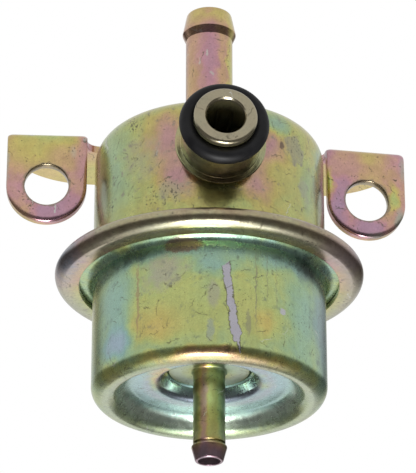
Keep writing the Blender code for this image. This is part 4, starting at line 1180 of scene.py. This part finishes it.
lower_zinc = chromated_zinc(
    "chromated_zinc_lower_cup",
    0.38,
    0.09,
    patches=[
        (0.45, (-7, -19.5, -31), (10, 7, 7.5), 0.9), (0.58, (-10.5, -18.2, -32.5), (4.6, 5, 3.4), 0.8),
        (0.47, (4.5, -20.4, -31), (6, 6, 7), 0.8), (0.62, (6.7, -20, -32.4), (2, 4, 3.4), 0.6),
        (0.14, (-16.6, -12, -27), (3.4, 8, 9), 0.8), (0.02, (-16.2, -12.6, -33.5), (3.6, 6, 4.2), 1),
        (0.12, (-1.5, -21.2, -22.6), (4.4, 4, 2.6), 0.8), (0.16, (13.6, -15.4, -29), (4.4, 8, 11), 0.8),
        (0.12, (11, -17.6, -20.5), (8, 6, 2.6), 0.8), (0.06, (17.6, -9.6, -28), (2.6, 6, 14), 0.9),
        (0.13, (0, -2, -19.6), (90, 90, 2.4), 0.9), (0.7, (0, -22, -38), (20, 14, 1.3), 0.9),
        (0.2, (0, -2, -36.5), (18, 18, 4.4), 1), (0.03, (0, -2, -35.6), (18, 18, 4), 1),
        (0.14, (0, -2, -33.6), (11, 11, 3), 1), (0.9, (-7.8, -4, -34.4), (2.8, 7, 2.6), 1),
        (0.52, (8.2, -4, -34.2), (2.2, 6, 1.8), 0.8), (0.5, (-15.6, -9, -37.6), (2.6, 4, 2.4), 0.9),
        (0.9, (-12.6, -11.6, -36.6), (2, 2.6, 1.6), 1),
    ],
    rings=[
        # The second ring here is painted light that whitens the dish's inner wall
        ("A2AA96", (0, -2, 0), (1, 1, 0), 16.8, 2, 0.8), ("C8D2C6", (0, -2, 0), (1, 1, 0), 14.6, 1, 0.7),
        ("A8BAC8", (0, -2, 0), (1, 1, 0), 12, 2.4, 0.5), ("B49CB4", (0, -2, 0), (1, 1, 0), 10, 1.4, 0.35),
        # A purple-grey ring on the recess wall, darkened as painted shade that dims the glints there
        ("6E6A7E", (0, -2, 0), (1, 1, 0), 8.2, 1.1, 0.7),
    ],
    marks=[
        ("B0A898", (-9.5, -18.8, -23.6), (6.6, 5, 5.4), 0.7, 0.7),
        ("8A7466", (-6.4, -20.2, -19.3), (4, 3, 1.5), 0.85, 0.3),
        # Painted shade on the wall just under the crimp's lip, at the right
        ("4C4A50", (14.5, -14.8, -20.4), (4, 6, 3), 0.6, 0.9),
        ("7C8E90", (17, -11, -28), (4, 8, 12), 0.5, 0.9),
        # These two are painted shade on the wall under the crimp's lip, left and right
        ("3F5A52", (-14, -16, -19.5), (9, 12, 2.2), 0.66, 0.8),
        ("3A4A48", (14, -15, -19.5), (9, 12, 2.4), 0.6, 0.8),
        # Painted dark reflection along the front of the bottom corner
        ("5E4632", (0, -22, -38), (16, 12, 1.5), 0.6, 0.8),
        ("A08068", (-13.1, -16.1, -27.5), (0.24, 2, 9), 0.6, 0.6),
        ("8A8870", (5.3, -20.5, -26.7), (0.16, 2, 9), 0.7, 0.6),
        ("8A8870", (7.2, -19.9, -24), (0.12, 2, 6), 0.5, 0.6),
        ("8A8870", (8.7, -19.3, -24.6), (0.12, 2, 6), 0.4, 0.6),
        ("A9A596", (-1.6, -21.2, -28), (1.3, 1.9, 3), 0.6, 0.5),
        ("9CA6A0", (-2.1, -21.1, -34), (0.8, 1.9, 2.4), 0.6, 0.5),
        ("8C8A74", (4, -20.8, -32.5), (0.5, 1.9, 3), 0.6, 0.5),
        ("BDBCC2", (9.8, -18.5, -29.4), (0.6, 1, 0.6), 0.9, 0.3),
    ],
    streaks=0.05,
    rough=(0.23, 0.31),
    worn=(
        "B6B3BC",
        [
            (-39.6, 2.75, 0.06), (-37.6, 2.35, 0.16), (-36.6, 2.15, 0.76), (-34.6, 1.8, 0.66), (-32, 1.45, 0.54),
            (-30.4, 1.2, 0.44), (-27.6, 0.9, 0.52), (-25, 0.6, 0.56), (-23, 0.45, 0.6),
        ],
    ),
)
bracket_zinc = chromated_zinc(
    "chromated_zinc_bracket",
    0.74,
    0.1,
    patches=[
        (0.5, (-29, 0, 7.6), (9, 3, 7), 1), (0.36, (-26, 0, 9.8), (7, 3, 2.2), 0.7),
        (0.66, (-24, 0.2, 5.2), (3.4, 3, 2.6), 0.7), (0.76, (-21, 0.3, 3), (2.8, 3, 10), 0.9),
        (0.86, (-27.3, 0, -4), (9, 3, 6), 0.9), (0.74, (-32, 0, -3), (2.8, 3, 4), 0.7),
        (0.58, (27.5, 0, 8.6), (5, 3, 2.6), 1), (0.62, (28.5, 0, 5.8), (4.6, 3, 2.2), 0.7),
        (0.72, (23.6, 0.3, 6), (3.6, 3, 4), 0.9), (0.76, (31.6, 0, 4.5), (2.6, 3, 3.4), 0.9),
        (0.9, (22.2, 0.3, -1.5), (3.4, 3, 6), 0.9), (0.36, (20.8, 0.4, 3), (0.9, 3, 3.4), 0.8),
        (0.38, (31.5, 0, 0.6), (1.3, 3, 3.4), 0.9), (0.88, (27.5, 0, -5.4), (7, 3, 2.6), 0.9),
        (0.54, (-27, 2.8, 0), (20, 2.6, 20), 1), (0.54, (27, 2.8, 0), (20, 2.6, 20), 1),
        (0.46, (0, 12, 9.2), (44, 12, 6), 1), (0.84, (-19.8, 1.6, 8.8), (2.4, 3.4, 2.6), 1),
        (0.86, (19.8, 1.6, 8.8), (2.4, 3.4, 2.6), 1),
    ],
    rings=[
        # Darker rings on the holes' rounded edges: painted shade that dims their glints
        ("867C68", (-27.25, 0, 0), (1, 0, 1), 3.75, 0.45, 0.8),
        ("867C68", (27.25, 0, 0), (1, 0, 1), 3.75, 0.45, 0.8),
    ],
    marks=[
        ("B0B2A8", (-29.9, 0, 9.8), (1, 1.9, 0.6), 0.8, 0.5),
        ("BCC0AC", (-22.9, 0, 6.2), (0.8, 1.9, 1.5), 0.4, 0.8),
        ("B0B4A8", (-20.8, 0, 8.6), (0.6, 1.9, 0.7), 0.7, 0.5),
        ("A6ACA4", (-33.9, 0, 4), (0.5, 1.9, 6), 0.6, 0.8),
        ("A6B49A", (30.6, 0, 9.6), (0.5, 1.9, 0.4), 0.6, 0.5),
        ("A6ACA6", (33.7, 0, 6.6), (1, 1.9, 3.4), 0.7, 0.8), ("A2AA9C", (33, 0, -4), (1.4, 1.9, 4), 0.8, 0.6),
        ("A2AA9C", (29.6, 0, -6.6), (3.4, 1.9, 1.1), 0.7, 0.8),
        ("B9BDB4", (-29.4, 0, -3.3), (0.16, 1.9, 1), 0.8, 0.5),
        ("C6C8C0", (-25.8, 0, -4.4), (0.16, 1.9, 1.1), 0.8, 0.5),
        ("4A4638", (32.2, 0, 4.2), (0.5, 1.9, 0.2), 0.8, 0.5),
        ("8E625A", (-19.8, 1.6, 8.6), (2.4, 3, 2.4), 0.6, 0.8),
        ("8E625A", (19.8, 1.6, 8.6), (2.4, 3, 2.4), 0.6, 0.8),
    ],
    specks=0.7,
)
pipe_zinc = chromated_zinc(
    "chromated_zinc_pipe",
    0.7,
    0.07,
    patches=[
        (0.82, (-0.3, -6, 22), (2, 4, 12), 0.9), (0.42, (3.5, -5, 20), (1, 4, 16), 0.8),
        (0.64, (1.9, -5.6, 20), (0.8, 4, 16), 0.7), (0.46, (0, -4, 31.6), (5, 5, 3.2), 0.8),
        (0.74, (-0.6, -5.5, 32), (1.2, 4, 1), 0.5), (0.62, (-3.4, -4, 16), (1.2, 4, 12), 0.7),
    ],
    marks=[
        ("C9C6BC", (-0.8, -5.9, 23.6), (0.28, 1, 0.8), 0.7, 0.5),
        ("C9C6BC", (-2, -5.5, 22.2), (0.2, 1, 0.9), 0.6, 0.5),
        ("C4C2B8", (0, -6, 19.6), (0.35, 1, 0.5), 0.6, 0.5),
        ("7E6A50", (2.7, -5.2, 23.8), (0.22, 1, 0.22), 0.8, 0.5),
    ],
    lobes=2,
)
port_zinc = chromated_zinc(
    "chromated_zinc_port",
    0.48,
    0.08,
    patches=[
        (0.3, (-5.5, -25, -5), (3, 8, 4), 0.7), (0.34, (5.5, -25, -5), (3, 8, 4), 0.7),
        (0.66, (0, -24, -8.6), (4, 5, 2.2), 0.7),
    ],
    tone=("9A8E80", 0.55),
    marks=[
        ("9A9084", (0, -32, 1), (14, 1.9, 14), 0.6, 0.2),
        # Painted shade on the underside of the collar and neck, in place of their dark reflection
        ("3E3620", (0, -23.5, -7.6), (10, 5, 5.4), 0.85, 0.9),
    ],
    rough=(0.14, 0.22),
)
nipple_zinc = chromated_zinc(
    "chromated_zinc_nipple",
    0.44,
    0.05,
    tone=("5A5636", 0.42),
    patches=[
        (0.78, (-1.2, -4.5, -41), (0.9, 3, 14), 0.9), (0.48, (0.3, -4.6, -41), (0.9, 3, 14), 0.7),
        (0.3, (1.9, -4, -41), (1.1, 3, 14), 0.9), (0.96, (0, -2, -48.4), (6, 6, 3), 1),
        (0.2, (3, -5, -33.5), (3.6, 4, 1.2), 0.8),
    ],
    rings=[("A6B3A4", (0, -2, 0), (1, 1, 0), 5.4, 2.2, 0.7)],
    marks=[
        # Painted dark reflections down the nipple's left and right sides
        ("4E4C24", (-2.6, -3.4, -41), (1.6, 1.9, 12), 0.9, 0.9),
        ("34482E", (2.4, -3.4, -41), (1.7, 1.9, 12), 0.9, 0.9),
        ("6A5658", (0, -2, -47.4), (3.4, 3.4, 2.2), 0.6, 0.5),
    ],
    rough=(0.27, 0.34),
    lobes=1.4,
)
nitrile = moulded_rubber("moulded_nitrile_rubber", "0C0C0E", 0.48)
proofed = proofed_fabric("rubber_proofed_fabric", "2A2624")
pressed = machined_steel("pressed_steel", "B4B6B8", 0.34, 0.5)
turned_steel = machined_steel("turned_steel", "A6A8AC", 0.30, 0.2)
lapped = machined_steel("hardened_lapped_steel", "B0B2B8", 0.20, 0.1)
ball_steel = machined_steel("polished_bearing_steel", "CACCD0", 0.12, 0.3)
wire_steel = machined_steel("oiled_spring_wire", "85878C", 0.33, 0.4)

middle = (DIAPHRAGM_TOP_Z + DIAPHRAGM_BOTTOM_Z) / 2
trough = middle - FOLD_DEPTH
fold_middle = (FOLD_OUTER_RADIUS + FOLD_INNER_RADIUS) / 2
outer_half = diaphragm_sheet(
    "diaphragm_rim",
    [
        (STACK_RADIUS, middle),
        (FOLD_OUTER_RADIUS, middle, FOLD_FILLET),
        (FOLD_OUTER_RADIUS - FOLD_LEAN, trough, FOLD_FILLET),
        (fold_middle, trough),
    ],
    proofed,
)
inner_half = diaphragm_sheet(
    "diaphragm_centre",
    [
        (fold_middle, trough),
        (FOLD_INNER_RADIUS + FOLD_LEAN, trough, FOLD_FILLET),
        (FOLD_INNER_RADIUS, middle, FOLD_FILLET),
        (HOLDER_SHANK_RADIUS + FIT, middle),
    ],
    proofed,
)

# Washers: name, inner and outer radius, height of the sheet's underside, length of the lip
shank_hole = HOLDER_SHANK_RADIUS + FIT
fuel_plate, spring_side_plate, spring_cup_seat = [
    cupped_washer(name, inner, outer, bottom + PLATE_SHEET / 2, lip, pressed)
    for name, inner, outer, bottom, lip in (
        ("fuel_side_plate", shank_hole, FUEL_PLATE_RADIUS, DIAPHRAGM_TOP_Z + CLAMP_GAP, FUEL_PLATE_LIP),
        ("spring_side_plate", shank_hole, SPRING_CUP_RADIUS, SPRING_PLATE_Z, -SPRING_SEAT_LIP),
        ("spring_cup_seat", SPRING_SEAT_INNER, SPRING_CUP_RADIUS, SPRING_SEAT_Z, SPRING_SEAT_LIP),
    )
]
coil = coil_tree()
spring_low = SPRING_SEAT_Z + PLATE_SHEET + CLAMP_GAP
spring_high = SPRING_PLATE_Z - CLAMP_GAP
body_spring = coil_spring(
    "body_spring", coil, SPRING_RADIUS, SPRING_WIRE, spring_low, spring_high, 3.0, wire_steel
)
small_radius = BALL_SPRING_BORE - CLAMP_GAP - BALL_SPRING_WIRE
clear = BALL_RADIUS + BALL_SPRING_WIRE + CLAMP_GAP
ball_coil = coil_spring(
    "ball_coil",
    coil,
    small_radius,
    BALL_SPRING_WIRE,
    RIVET_Z + HOLDER_FLOOR + CLAMP_GAP,
    BALL_Z - math.sqrt(clear**2 - small_radius**2) + BALL_SPRING_WIRE,
    2.0,
    wire_steel,
)

dressed = {
    "housing": [
        (mounting_bracket(bracket_zinc), "mounting_bracket", "plated_bracket"),
        (fuel_chamber_cup(upper_zinc), "fuel_chamber_cup", "plated_fuel_cup"),
        (spring_chamber_cup(lower_zinc), "spring_chamber_cup", "plated_spring_cup"),
        (return_pipe(pipe_zinc), "return_pipe", "plated_pipe"),
        (inlet_port(port_zinc), "inlet_port", "plated_port"),
        (inlet_o_ring(nitrile), "inlet_o_ring", "seal_rubber"),
        (vacuum_nipple(nipple_zinc), "vacuum_nipple", "plated_nipple"),
        (valve_seat(lapped), "valve_seat", "lapped_steel"),
        (spring_cup_seat, "spring_seat", "bright_plate"),
    ],
    "valve_carrier": [
        (fuel_plate, "diaphragm_plate", "bright_plate"),
        (spring_side_plate, "spring_plate", "bright_plate"),
        (valve_holder(turned_steel), "valve_holder", "turned_steel"),
        (ball_retainer(turned_steel), "ball_retainer", "turned_steel"),
        (ball_coil, "ball_spring", "spring_steel"),
    ],
    "valve": [
        (valve_ball(ball_steel), "valve_ball", "bearing_steel"),
        (valve_disc(lapped), "valve_disc", "lapped_steel"),
    ],
}
for body, pieces in dressed.items():
    for made, node, slot in pieces:
        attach(made, body)
        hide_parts(node)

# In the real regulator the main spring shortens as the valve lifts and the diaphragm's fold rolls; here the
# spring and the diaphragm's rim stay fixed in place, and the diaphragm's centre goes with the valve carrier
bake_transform(body_spring)
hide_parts("main_spring")
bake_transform(outer_half)
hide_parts("diaphragm")
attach(inner_half, "valve_carrier")

view = bpy.context.scene.view_settings
view.view_transform = "Standard"
